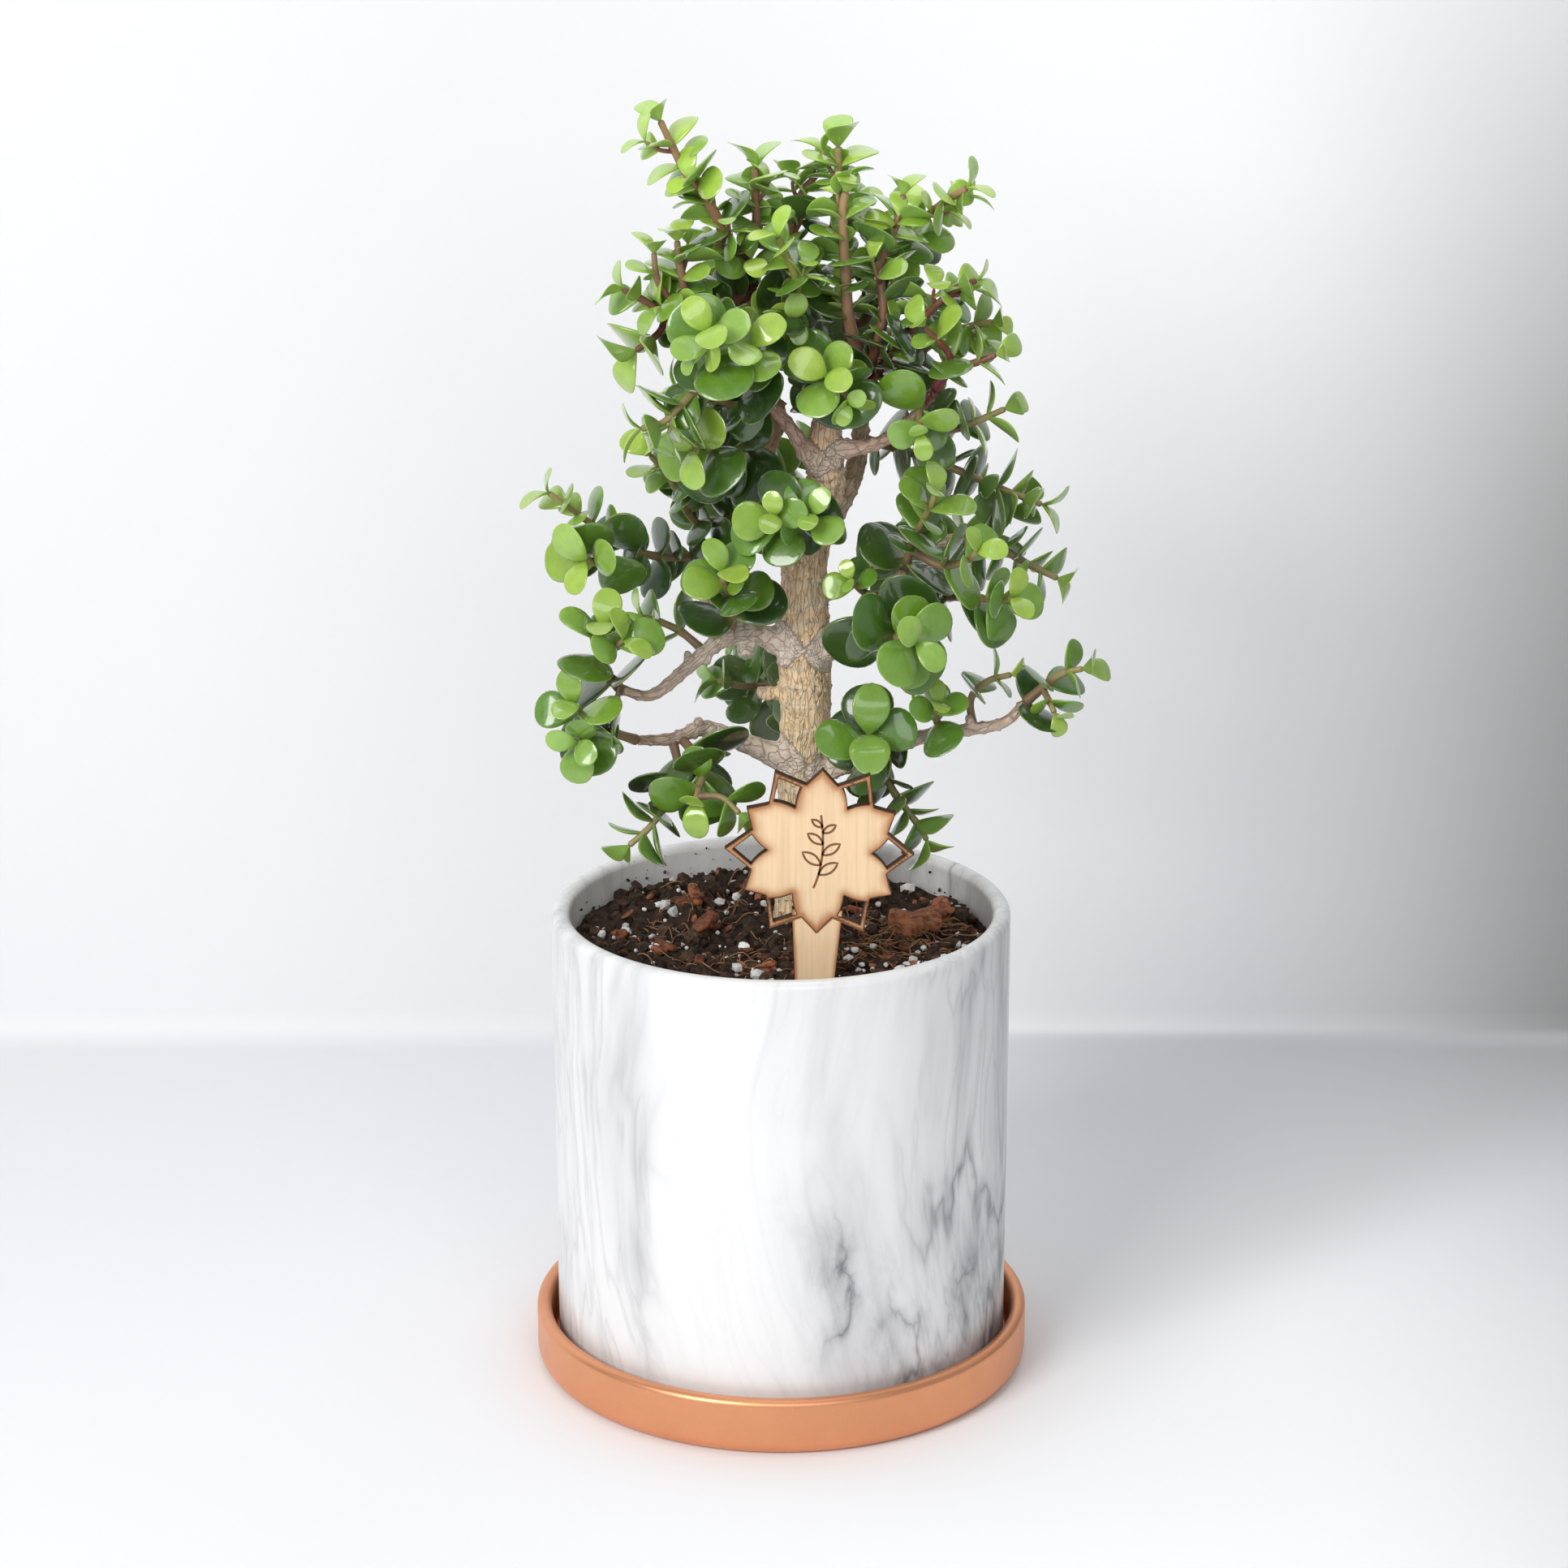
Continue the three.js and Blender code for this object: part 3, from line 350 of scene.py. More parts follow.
def marbled_glaze(ground, vein):
    """Streaks that run down the pot, and a dark cracked band that sweeps down to its right."""
    s = Shader("marbled_glaze")
    place = s.place()
    split = s.split(place)
    warp = s.noise(s.mapped(place, (1, 1, 0.55)), 14, 3, 0.5, output="Color")
    pulled = s.vector_math("MULTIPLY_ADD", warp, (0.028, 0.028, 0.1), place)
    bent = s.split(pulled)
    drop = s.math("SUBTRACT", POT_HIGH.z, bent["Z"])
    across = s.math("SUBTRACT", bent["X"], s.times(s.times(drop, drop), 2.1))
    along_flow = s.node("CombineXYZ")
    s.join(across, along_flow.inputs["X"])
    s.join(bent["Y"], along_flow.inputs["Y"])
    s.join(s.times(bent["Z"], 0.11), along_flow.inputs["Z"])
    flow = along_flow.outputs[0]

    band = s.times(hill(s, across, 0.027, 0.013), s.span(drop, 0.015, 0.06))
    corner = s.times(s.span(split["X"], 0.005, 0.035), s.span(split["Z"], 0.065, 0.03))
    left = s.span(split["X"], -0.03, -0.055)
    right = s.span(split["X"], 0.03, 0.055)
    sides = s.math("ADD", left, right, use_clamp=True)
    patchy = s.span(s.noise(s.mapped(place, (1, 1, 0.4)), 14, 2), 0.4, 0.62)

    streaks = veins(s, flow, 30, 9)
    fine = veins(s, flow, 110, 12)
    wisps = s.span(s.noise(flow, 34, 4, 0.6), 0.54, 0.8)
    cloud = s.span(s.noise(s.mapped(pulled, (1, 1, 0.4), (0, -0.35, 0)), 60, 5, 0.68), 0.42, 0.78)
    cracks = veins(s, s.mapped(pulled, (1, 1, 0.6), (0, -0.6, 0)), 19, 30, 6)
    drips = veins(s, s.mapped(pulled, (1, 1, 0.3), (0, -0.15, 0)), 21, 36, 4)
    haze = s.span(s.noise(flow, 45, 4, 0.6), 0.3, 0.75)
    amount = 0.0
    for pattern, share in (
            (streaks, s.times(patchy, s.math("MULTIPLY_ADD", sides, 0.2, 0.2))),
            (fine, s.math("MULTIPLY_ADD", sides, 0.17, 0.05)),
            (wisps, s.math("MULTIPLY_ADD", sides, 0.18, 0.2)),
            (cloud, s.math("MAXIMUM", s.times(band, 0.42), s.times(corner, 0.5))),
            (cracks, s.times(s.math("MAXIMUM", band, corner), 0.6)),
            (drips, s.times(right, 0.6)),
            (haze, s.times(band, 0.26))):
        amount = s.math("ADD", amount, s.times(pattern, share), use_clamp=True)
    return s.set(Base_Color=s.mix(amount, ground, vein),
                 Roughness=s.span(s.noise(place, 900, 2), 0.2, 0.8, 0.3, 0.38),
                 Coat_Weight=0.35, Coat_Roughness=0.22, Normal=s.bump(s.noise(place, 55, 2), 0.0004, 0.25))


def copper_coat(copper):
    s = Shader("copper_coat")
    place = s.place()
    speck = s.noise(place, 2600, 2)
    cloud = s.noise(place, 35, 3)
    colour = s.mix(s.span(cloud, 0.3, 0.7, 0, 0.5), copper, shaded(copper, 0.86))
    colour = s.mix(s.span(speck, 0.55, 0.75, 0, 0.3), colour, [min(1, c) for c in shaded(copper, 1.35)])
    rough = s.math("ADD", s.span(cloud, 0.3, 0.7, 0.3, 0.38), s.times(speck, 0.08))
    return s.set(Base_Color=colour, Metallic=0.88, Roughness=rough,
                 Normal=s.bump(speck, 0.00008, 0.35))


def potting_mix(earth):
    s = Shader("potting_mix")
    place = s.place()
    lump = s.noise(place, 160, 6, 0.65)
    fleck = s.noise(place, 900, 4, 0.7)
    colour = s.mix(s.span(lump, 0.35, 0.7), earth, shaded(earth, 2.4))
    colour = s.mix(s.span(fleck, 0.62, 0.75, 0, 0.7), colour, (0.16, 0.075, 0.035))
    return s.set(Base_Color=colour, Roughness=s.span(fleck, 0.3, 0.7, 0.75, 1.0), Specular_IOR_Level=0.25,
                 Normal=s.bump(fleck, 0.0008, 0.9))


def crumbly(name, dark, light, scale, rough, relief):
    """A mottled dry surface, darker where its "tint" is high."""
    s = Shader(name)
    place = s.place()
    grain = s.noise(place, scale, 5, 0.65)
    colour = s.mix(s.span(grain, 0.3, 0.7), dark, light)
    colour = s.mix(s.times(s.attribute("tint"), 0.7), colour, shaded(dark, 0.35))
    return s.set(Base_Color=colour, Roughness=rough, Specular_IOR_Level=0.3,
                 Normal=s.bump(grain, relief, 0.8))


def scorched_birch(birch, scorch):
    s = Shader("scorched_birch")
    place = s.place()
    grain = s.noise(s.mapped(place, (1, 1, 0.035)), 900, 4, 0.6)
    figure = s.noise(s.mapped(place, (1, 1, 0.12)), 90, 3, 0.5, 0.6)
    stain = s.noise(s.mapped(place, (1, 1, 0.3)), 60, 3)
    burn = s.attribute("scorch")
    colour = s.mix(s.span(grain, 0.35, 0.7, 0, 0.35), birch, shaded(birch, 0.7))
    colour = s.mix(s.span(figure, 0.5, 0.75, 0, 0.3), colour, (0.6, 0.35, 0.16))
    toasted = s.times(s.math("POWER", burn, 0.8), s.span(stain, 0.2, 0.75, 0.45, 1.0))
    colour = s.mix(s.span(toasted, 0.08, 0.62, 0, 0.9), colour, (0.4, 0.15, 0.045))
    colour = s.mix(s.span(burn, 0.7, 0.97, 0, 1.0), colour, scorch)
    return s.set(Base_Color=colour, Roughness=0.62, Specular_IOR_Level=0.35,
                 Normal=s.bump(grain, 0.00012, 0.5))


def bark_skin():
    s = Shader("bark_skin")
    place = s.place()
    wash = s.attribute("wash", "Color")
    fissure = s.attribute("fissure")
    grain = s.attribute("grain", "Vector")
    warped = s.vector_math("ADD", grain, s.noise(grain, 0.9, 2, 0.5, output="Color"))
    plates = s.node("TexVoronoi", feature="DISTANCE_TO_EDGE")
    s.join(s.mapped(warped, (1, 1, 0.5)), plates.inputs["Vector"])
    plates.inputs["Scale"].default_value = 0.62
    seam = s.span(plates.outputs["Distance"], 0.0, 0.09, 1, 0)
    fibre = s.noise(s.mapped(grain, (1, 1, 0.5)), 1.9, 5, 0.62)
    fleck = s.noise(place, 1100, 4, 0.6)
    patch = s.noise(place, 190, 3, 0.55)
    colour = s.mix(s.span(patch, 0.5, 0.7, 0, 0.45), wash, (0.78, 0.67, 0.53))
    colour = s.mix(s.span(fibre, 0.54, 0.74, 0, 0.36), colour, (0.38, 0.24, 0.12))
    colour = s.mix(s.span(fibre, 0.46, 0.3, 0, 0.6), colour, (0.93, 0.82, 0.66))
    colour = s.mix(s.times(seam, s.span(patch, 0.35, 0.6, 0.05, 0.3)), colour, (0.32, 0.2, 0.1))
    colour = s.mix(s.span(fissure, 0.4, 0.95, 0, 0.55), colour, (0.24, 0.15, 0.07))
    relief = s.math("SUBTRACT", s.times(fibre, -0.8), s.times(seam, 0.7))
    relief = s.math("ADD", relief, s.times(fleck, 0.25))
    return s.set(Base_Color=colour, Roughness=s.span(fleck, 0.3, 0.7, 0.7, 0.92), Specular_IOR_Level=0.3,
                 Normal=s.bump(relief, 0.0009, 0.8))


def green_stem():
    s = Shader("green_stem")
    place = s.place()
    wash = s.attribute("wash", "Color")
    fleck = s.noise(s.mapped(place, (1, 1, 0.5)), 600, 4, 0.6)
    colour = s.mix(s.span(fleck, 0.42, 0.68, 0, 0.4), wash, (0.3, 0.17, 0.09))
    colour = s.mix(s.times(s.attribute("band"), 0.55), colour, (0.09, 0.05, 0.03))
    return s.set(Base_Color=colour, Roughness=0.45, Specular_IOR_Level=0.45,
                 Normal=s.bump(fleck, 0.0002, 0.5))


def waxy_leaf():
    s = Shader("waxy_leaf")
    place = s.place()
    wash = s.attribute("wash", "Color")
    along = s.attribute("along")
    mottle = s.noise(place, 300, 3, 0.5)
    dots = s.noise(place, 1500, 2, 0.5)
    tone = s.math("ADD", s.span(mottle, 0.25, 0.75, 0.92, 1.06), s.span(dots, 0.55, 0.75, 0, 0.07))
    lit = s.node("CombineColor")
    for socket in lit.inputs[:3]:
        s.join(tone, socket)
    colour = s.mix(1.0, wash, lit.outputs[0], "MULTIPLY")
    edge = s.span(s.math("ABSOLUTE", s.attribute("across")), 0.86, 1.0, 0, 0.5)
    colour = s.mix(edge, colour, (0.36, 0.46, 0.12))
    colour = s.mix(s.span(along, 0.02, 0.24, 0.45, 0), colour, (0.38, 0.5, 0.15))
    under = s.span(s.attribute("side"), -0.35, 0.05, 0.32, 0)
    colour = s.mix(under, colour, (0.24, 0.36, 0.13))
    rough = s.math("ADD", s.span(mottle, 0.3, 0.7, 0.3, 0.4), s.times(under, 0.35))
    relief = s.math("ADD", s.noise(place, 210, 2), s.times(dots, 0.15))
    return s.set(Base_Color=colour, Roughness=rough, Coat_Weight=1.0, Coat_Roughness=0.1,
                 Subsurface_Weight=0.1, Subsurface_Radius=(0.002, 0.003, 0.001), Subsurface_Scale=1.0,
                 Normal=s.bump(relief, 0.0006, 0.45))


# ---------------------------------------------------------------- how the plant grows
# A limb is its parent and its [x, y, z, radius] points in millimetres, thick end first. A limb or shoot
# that names a parent starts on the middle of that parent.
def stem(route, thickness, leaf_lengths, gap, bare, turn):
    """A stem's route, its radius at both ends, its leaf lengths at foot and tip, the gap between leaf pairs,
    the bare length before the first pair, and the turn of its first pair in degrees."""
    return {"route": route, "thickness": thickness, "leaf_lengths": leaf_lengths, "gap": gap, "bare": bare,
            "turn": turn}


LIMBS = {
    "trunk": (None, [
        [7, 17, 134, 10.5], [7, 17, 150, 9.6], [7, 17, 184, 8.4], [8, 17, 223, 8.3], [7, 17, 244, 9.3],
        [7, 17, 256, 7.9], [8, 17, 270, 7.2], [10, 17, 282, 7.4], [14, 16, 294, 6.3], [14, 14, 305, 5.8],
        [15, 12, 317, 4.8], [21, 8, 330, 3.9], [24, 6, 340, 3.4]]),
    "leader_left": ("trunk", [
        [-1, 20, 287, 6.2], [-7, 22, 295, 6.2], [-7, 23, 303, 6], [-6, 23, 313, 5.4], [-7, 22, 318, 3.4],
        [-9, 20, 330, 3.1], [-8, 18, 346, 2.9], [-9, 16, 359, 2.5]]),
    "leader_rear": ("trunk", [
        [15, 24, 281, 4.6], [22, 30, 291, 4.4], [25, 36, 300, 4], [26, 41, 310, 3.4], [25, 44, 323, 3],
        [22, 45, 338, 2.6], [20, 44, 352, 2.2]]),
    "limb_left_mid": ("trunk", [
        [0, 15, 243, 4.8], [-10, 9, 247, 4.1], [-20, 3, 246, 3.4], [-29, -3, 240, 3], [-41, -10, 232, 2.5],
        [-51, -14, 235, 2]]),
    "limb_left_low": ("trunk", [
        [0, 15, 204, 4.8], [-10, 11, 209, 4.2], [-19, 7, 214, 3.8], [-26, 3, 217, 3.2], [-35, -2, 215, 2.7],
        [-46, -7, 216, 2.1]]),
    "limb_right_mid": ("trunk", [
        [16, 14, 241, 4.3], [23, 8, 248, 3.8], [28, 3, 255, 3.2], [35, -2, 264, 2.7], [39, -5, 272, 2.3]]),
    "limb_right_low": ("trunk", [
        [15, 15, 200, 4], [26, 10, 204, 3.6], [39, 5, 211, 3], [50, 1, 216, 2.9], [62, -1, 218, 2.6],
        [72, -3, 221, 2.4], [78, -5, 228, 2.1]]),
    "limb_right_upper": ("trunk", [
        [18, 12, 307, 3], [30, 6, 310, 2.7], [40, 1, 318, 2.5], [48, -3, 329, 2.3]]),
    "limb_upper_left": ("trunk", [
        [10, 11, 304, 3.3], [3, 6, 315, 2.9], [-4, 1, 325, 2.5], [-8, -3, 330, 2.1]]),
    "limb_right_rear": ("trunk", [
        [13, 27, 255, 3.6], [26, 36, 262, 3.2], [42, 42, 268, 2.8], [58, 45, 270, 2.3]]),
    "limb_rear_high": ("trunk", [
        [4, 27, 264, 3.6], [-3, 46, 268, 3.2], [-16, 60, 273, 2.4]]),
}

SHOOTS = {
    # crown
    "shoot_top_left": ("leader_left", [
        stem([[-16, 6, 374], [-23, 2, 388], [-29, 0, 396], [-33, -2, 404], [-37, -4, 413]],
             [2.4, 1.2], [13, 10], 13, 22, 80),
        stem([[-8, 13, 373], [-8, 14, 386], [-8, 14, 396]], [2, 1.3], [13, 12], 10, 10, 0)]),
    "shoot_crown_middle": ("trunk", [
        stem([[10, 22, 330], [6, 26, 343], [7, 30, 357], [3, 34, 370], [6, 38, 383], [12, 40, 391]],
             [3.2, 1.2], [14, 11], 11, 12, 0)]),
    "shoot_top_centre": ("trunk", [
        stem([[21, 3, 351], [20, 1, 367], [19, -1, 384], [20, -2, 391]], [2.6, 1.3], [15, 8], 13, 5, 5)]),
    "shoot_top_centre_rear": ("leader_rear", [
        stem([[17, 34, 372], [18, 28, 388], [18, 26, 401]], [2.1, 1.4], [13, 13], 9, 14, 10)]),
    "shoot_top_right": ("trunk", [
        stem([[27, 4, 334], [32, 3, 351], [31, 6, 366], [36, 6, 380], [38, 6, 389]],
             [2.4, 1.2], [13, 9], 11, 12, 70)]),
    "shoot_top_right_outer": ("leader_rear", [
        stem([[27, 41, 343], [34, 35, 359], [42, 24, 375], [51, 16, 385], [58, 12, 390]],
             [2.2, 1.3], [12, 9], 12, 16, 0)]),
    "shoot_front_olive": ("leader_left", [
        stem([[2, 0, 352], [5, -8, 363], [1, -12, 374], [-1, -14, 379]], [1.8, 1.2], [13, 9], 9, 10, 20)]),
    "shoot_left_upper": ("leader_left", [
        stem([[-21, 2, 353], [-28, -4, 356], [-31, -8, 368], [-32, -9, 377]],
             [2.2, 1.1], [12, 9], 10, 8, 0),
        stem([[-34, -9, 359], [-38, -12, 365], [-39, -13, 374]], [1.5, 1], [11, 9], 9, 5, 60)]),
    "shoot_left_tips": ("leader_left", [
        stem([[-21, 4, 343], [-33, -4, 351], [-42, -8, 358], [-49, -10, 362]],
             [2, 1.1], [12, 10], 9, 12, 30),
        stem([[-38, -8, 348], [-45, -11, 343]], [1.4, 1.1], [17, 14], 10, 6, 60)]),
    "shoot_front_left": ("limb_upper_left", [
        stem([[-14, -16, 340], [-19, -28, 347], [-22, -37, 354]], [1.9, 1.2], [16, 12], 8, 10, 35),
        stem([[-11, -24, 344], [-9, -30, 348]], [1.3, 1.1], [17, 12], 7, 4, 80)]),
    "shoot_front_left_low": ("limb_upper_left", [
        stem([[-9, -1, 322], [-17, -12, 327], [-25, -22, 333], [-31, -28, 329], [-37, -31, 324],
             [-43, -32, 323]],
             [1.8, 1.1], [14, 10], 9, 6, 10)]),
    "shoot_left_leader_side": ("leader_left", [
        stem([[-19, 2, 308], [-24, -8, 313], [-28, -17, 313]], [1.8, 1.2], [17, 11], 9, 5, 40)]),
    "shoot_left_leader_back": ("leader_left", [
        stem([[-17, 42, 311], [-26, 48, 314], [-34, 50, 319]], [1.9, 1.1], [14, 10], 9, 8, 0),
        stem([[-18, 54, 318], [-16, 64, 326]], [1.5, 1.1], [14, 10], 9, 4, 30)]),
    "shoot_crown_front": ("trunk", [
        stem([[17, -10, 333], [14, -19, 337]], [1.6, 1.1], [17, 12], 8, 8, 60),
        stem([[21, -16, 329], [21, -20, 328]], [1.1, 0.9], [11, 7], 6, 3, 10)]),
    "shoot_right_1": ("trunk", [
        stem([[28, 10, 329], [36, 8, 341], [46, 4, 352], [54, 2, 360], [61, 1, 363]],
             [2, 1.1], [13, 8], 9, 8, 20)]),
    "shoot_right_2": ("leader_rear", [
        stem([[39, 34, 331], [51, 26, 340], [60, 20, 345], [67, 17, 347]], [2, 1.1], [13, 8], 9, 8, 50)]),
    "shoot_right_3": ("limb_right_upper", [
        stem([[53, -4, 336], [60, -5, 338], [67, -6, 341]], [2, 1.1], [12, 9], 9, 4, 0),
        stem([[51, -8, 343], [44, -12, 351]], [1.4, 1], [12, 9], 9, 4, 45)]),
    "shoot_right_4": ("limb_right_upper", [
        stem([[52, 8, 314], [62, 8, 317], [71, 8, 321]], [1.7, 1.1], [13, 10], 9, 8, 60)]),
    "shoot_right_drop": ("limb_right_upper", [
        stem([[43, -9, 323], [43, -20, 319]], [1.3, 1], [14, 9], 8, 4, 20)]),
    # middle
    "shoot_front_centre": ("trunk", [
        stem([[2, -4, 287], [-1, -14, 290], [-2, -20, 293]], [1.7, 1.1], [16, 9], 8, 12, 15),
        stem([[8, -6, 286], [10, -13, 290], [10, -18, 293]], [1.5, 1], [14, 9], 8, 6, 75)]),
    "shoot_right_rear_1": ("leader_rear", [
        stem([[39, 44, 300], [55, 40, 295], [71, 36, 289], [85, 33, 284]], [2, 1.1], [14, 11], 9, 10, 10)]),
    "shoot_right_rear_2": ("limb_right_rear", [
        stem([[70, 43, 268], [82, 40, 262], [91, 38, 258]], [2, 1.2], [14, 10], 9, 5, 40),
        stem([[74, 50, 275], [80, 52, 280]], [1.3, 1], [13, 10], 8, 3, 10)]),
    "shoot_right_front": ("limb_right_mid", [
        stem([[42, -10, 283], [46, -14, 293], [48, -17, 299]], [1.7, 1.1], [16, 10], 9, 6, 0),
        stem([[50, -12, 275], [58, -18, 278], [61, -22, 282]], [1.8, 1.1], [17, 9], 9, 8, 30)]),
    "shoot_right_outer": ("limb_right_mid", [
        stem([[49, 4, 261], [60, -2, 262], [69, -9, 263], [73, -14, 265]],
             [1.9, 1.1], [16, 10], 9, 10, 45)]),
    "shoot_right_rosette": ("limb_right_mid", [
        stem([[33, -16, 255], [39, -28, 255], [42, -34, 256]], [1.9, 1.2], [18, 12], 8, 12, 38)]),
    "shoot_small_rosette": ("limb_right_mid", [
        stem([[26, -7, 265], [22, -14, 271]], [1.5, 0.9], [11, 7], 6, 7, 20)]),
    "shoot_far_left": ("limb_rear_high", [
        stem([[-26, 44, 265], [-43, 26, 269], [-57, 16, 279], [-67, 10, 288], [-74, 7, 294]],
             [2, 1.1], [12, 9], 11, 30, 5),
        stem([[-57, 2, 273], [-62, -6, 275]], [1.5, 1.1], [15, 13], 7, 6, 35)]),
    "shoot_left_green": ("limb_rear_high", [
        stem([[-13, 48, 276], [-26, 40, 276], [-31, 34, 282], [-35, 28, 292], [-42, 22, 303]],
             [1.7, 1.1], [12, 10], 9, 14, 70)]),
    "shoot_left_mid_top": ("limb_left_mid", [
        stem([[-15, -4, 260], [-18, -12, 269], [-18, -17, 274]], [2.4, 1.2], [15, 11], 8, 9, 40)]),
    "shoot_left_mid_side": ("limb_left_mid", [
        stem([[-32, 4, 249], [-39, 2, 253], [-44, 0, 255]], [1.7, 1.1], [14, 10], 8, 6, 20)]),
    "shoot_left_rosette_top": ("limb_left_mid", [
        stem([[-57, -17, 244], [-57, -21, 251], [-56, -26, 259]], [1.9, 1.2], [16, 11], 8, 6, 40),
        stem([[-53, -26, 252], [-49, -31, 256]], [1.2, 1], [16, 10], 7, 4, 10)]),
    "shoot_left_rosette_low": ("limb_left_low", [
        stem([[-55, -13, 221], [-62, -20, 227], [-65, -27, 234]], [1.9, 1.2], [17, 12], 8, 6, 30),
        stem([[-62, -24, 222], [-64, -30, 222]], [1.2, 1], [14, 10], 7, 3, 70)]),
    "shoot_hanging_left": ("limb_left_low", [
        stem([[-25, -12, 209], [-26, -20, 205], [-27, -26, 202]], [1.8, 1.1], [17, 11], 8, 9, 25),
        stem([[-19, -26, 203], [-13, -31, 199]], [1.4, 1], [13, 10], 9, 7, 80)]),
    "shoot_hanging_left_low": ("limb_left_low", [
        stem([[-33, -6, 205], [-36, -10, 197], [-42, -13, 189], [-49, -15, 183]],
             [1.8, 1.1], [14, 11], 9, 12, 10)]),
    "shoot_right_pair": ("limb_right_low", [
        stem([[28, -6, 215], [28, -14, 220]], [1.6, 1.1], [18, 15], 7, 8, 10)]),
    "shoot_hanging_right": ("limb_right_low", [
        stem([[35, -2, 200], [40, -6, 193], [45, -9, 187], [47, -10, 183]],
             [1.8, 1], [13, 11], 10, 8, 60)]),
    "shoot_right_low_small": ("limb_right_low", [
        stem([[49, -9, 225], [50, -14, 230]], [1.5, 1], [13, 8], 7, 4, 20)]),
    "shoot_right_low_tip": ("limb_right_low", [
        stem([[85, -7, 235], [90, -9, 239], [96, -11, 241]], [1.9, 1.1], [12, 10], 8, 4, 50),
        stem([[86, -12, 229], [87, -14, 227]], [1.2, 1], [11, 8], 7, 3, 10)]),
    "shoot_right_low_twig": ("limb_right_low", [
        stem([[61, 2, 227], [66, 2, 233], [74, 0, 236]], [1.6, 1.1], [12, 9], 8, 12, 0)]),
    # rear
    "shoot_rear_low": ("trunk", [
        stem([[3, 50, 214], [-6, 68, 213], [-11, 84, 213], [-8, 96, 215]], [3.2, 1.1], [14, 10], 9, 46, 20),
        stem([[-13, 60, 215], [-22, 60, 217]], [1.7, 1.1], [13, 10], 8, 3, 30)]),
    "shoot_rear_right": ("limb_right_rear", [
        stem([[44, 60, 260], [42, 68, 256], [46, 80, 254]], [1.9, 1.1], [15, 10], 9, 8, 20),
        stem([[56, 70, 263], [66, 78, 268]], [1.5, 1.1], [14, 10], 9, 4, 60)]),
    "shoot_rear_high": ("limb_rear_high", [
        stem([[-20, 70, 276], [-23, 78, 280], [-22, 88, 285]], [1.8, 1.1], [15, 10], 9, 6, 50),
        stem([[-10, 78, 276], [2, 86, 282], [8, 90, 290]], [1.5, 1.1], [14, 10], 9, 5, 0)]),
    "shoot_rear_crown": ("leader_rear", [
        stem([[18, 60, 333], [13, 70, 342], [10, 74, 351]], [2, 1.1], [14, 10], 9, 8, 0),
        stem([[29, 72, 336], [36, 76, 341]], [1.4, 1], [14, 10], 9, 4, 40)]),
    "shoot_rear_crown_left": ("shoot_crown_middle", [
        stem([[-6, 44, 341], [-15, 52, 348], [-22, 56, 355]], [2, 1.1], [14, 10], 9, 8, 0)]),
}


# ---------------------------------------------------------------- growth
# Lengths are in millimetres and angles in degrees.
LEAF_VIGOUR = 1.25               # how much longer the leaves grow than the tables say
PAIR_SPACING = 1.36              # and how much wider the gaps are
LEAF_ROOT = 0.2                  # how deep a leaf's foot sits, as a share of the stem's radius
GAP_GROWTH = (0.5, 0.75, 1.0)    # the first gaps from the tip are shorter
PAIR_OPENINGS = (28, 52, 68, 76)
GROWN_PAIR = 2.5                 # leaves are full grown from about this pair on
TIP_SIZE = 0.82                  # how much shorter the leaves at the tip are than the tables say
FIRST_PAIR = 0.6                 # from the tip to the first pair
ROUTE_SAMPLES = 12               # points of a route between two of its waypoints
WOOD_STEP = 2.0                  # spacing of the points that leaves keep clear of
# A leaf feels for room at these shares of its length and places across, and tries these changes of its
# opening and size until it has room.
FEELERS = ((0.3, 0), (0.55, -0.28), (0.55, 0.28), (0.6, 0), (0.85, -0.3), (0.85, 0.3), (1, 0))
CANDIDATES = ((0, 1), (-18, 1), (16, 1), (0, 0.82), (-26, 0.82), (24, 0.82), (0, 0.64))
POT_CLEAR = 2.5
PICK_CLEAR = 4.0
PICK_HALF = 1.5                  # half the pick's thickness
WOOD_CLEAR = (1.3, 0.06)         # room round wood: a length, and a share of the leaf's length
LEAF_CLEAR = (1.5, 0.07)         # room between leaves: a length, and a share of both leaves' lengths
SIBLING_CLEAR = 0.6              # leaves of one shoot may be closer by this factor
FILL_SLACK = 0.72                # the fill leaves may be closer by this factor
FILL_FROM = 30                   # the shortest stem that gets fill leaves
FILL_SHORTEST = 4.5
FOOT_BARE = 5                    # no fill leaf or sprout this close to a stem's foot
SPROUT_SLACK = 0.6               # and so may the sprouts' leaves
SPROUT_START = 11                # from the tip to the first sprout
SPROUT_SHARE = 0.8
SPROUT_FROM = 310                # height where the sprouts begin, and how far up they reach full number
SPROUT_RISE = 40
SPROUT_PAIRS = ((0.95, (25, 45), 0.85), (0.45, (50, 75), 1))   # place along, opening and size
BRIGHT_FROM = 345                # above this height a sprout's leaves are young
SPROUT_RADII = (0.95, 0.8, 0.65)


def unit(v):
    return v / np.linalg.norm(v)


def curve_point(points, before, share):
    """A point of the smooth curve through all the points, between one of them and the next."""
    last = len(points) - 1
    p1, p2 = points[before], points[before + 1]
    p0 = points[before - 1] if before > 0 else 2 * points[0] - points[1]
    p3 = points[before + 2] if before + 2 <= last else 2 * points[last] - points[last - 1]
    t0, t1 = 0.5 * (p2 - p0), 0.5 * (p3 - p1)
    c2 = -3 * p1 + 3 * p2 - 2 * t0 - t1
    c3 = 2 * p1 - 2 * p2 + t0 + t1
    return p1 + t0 * share + c2 * share ** 2 + c3 * share ** 3


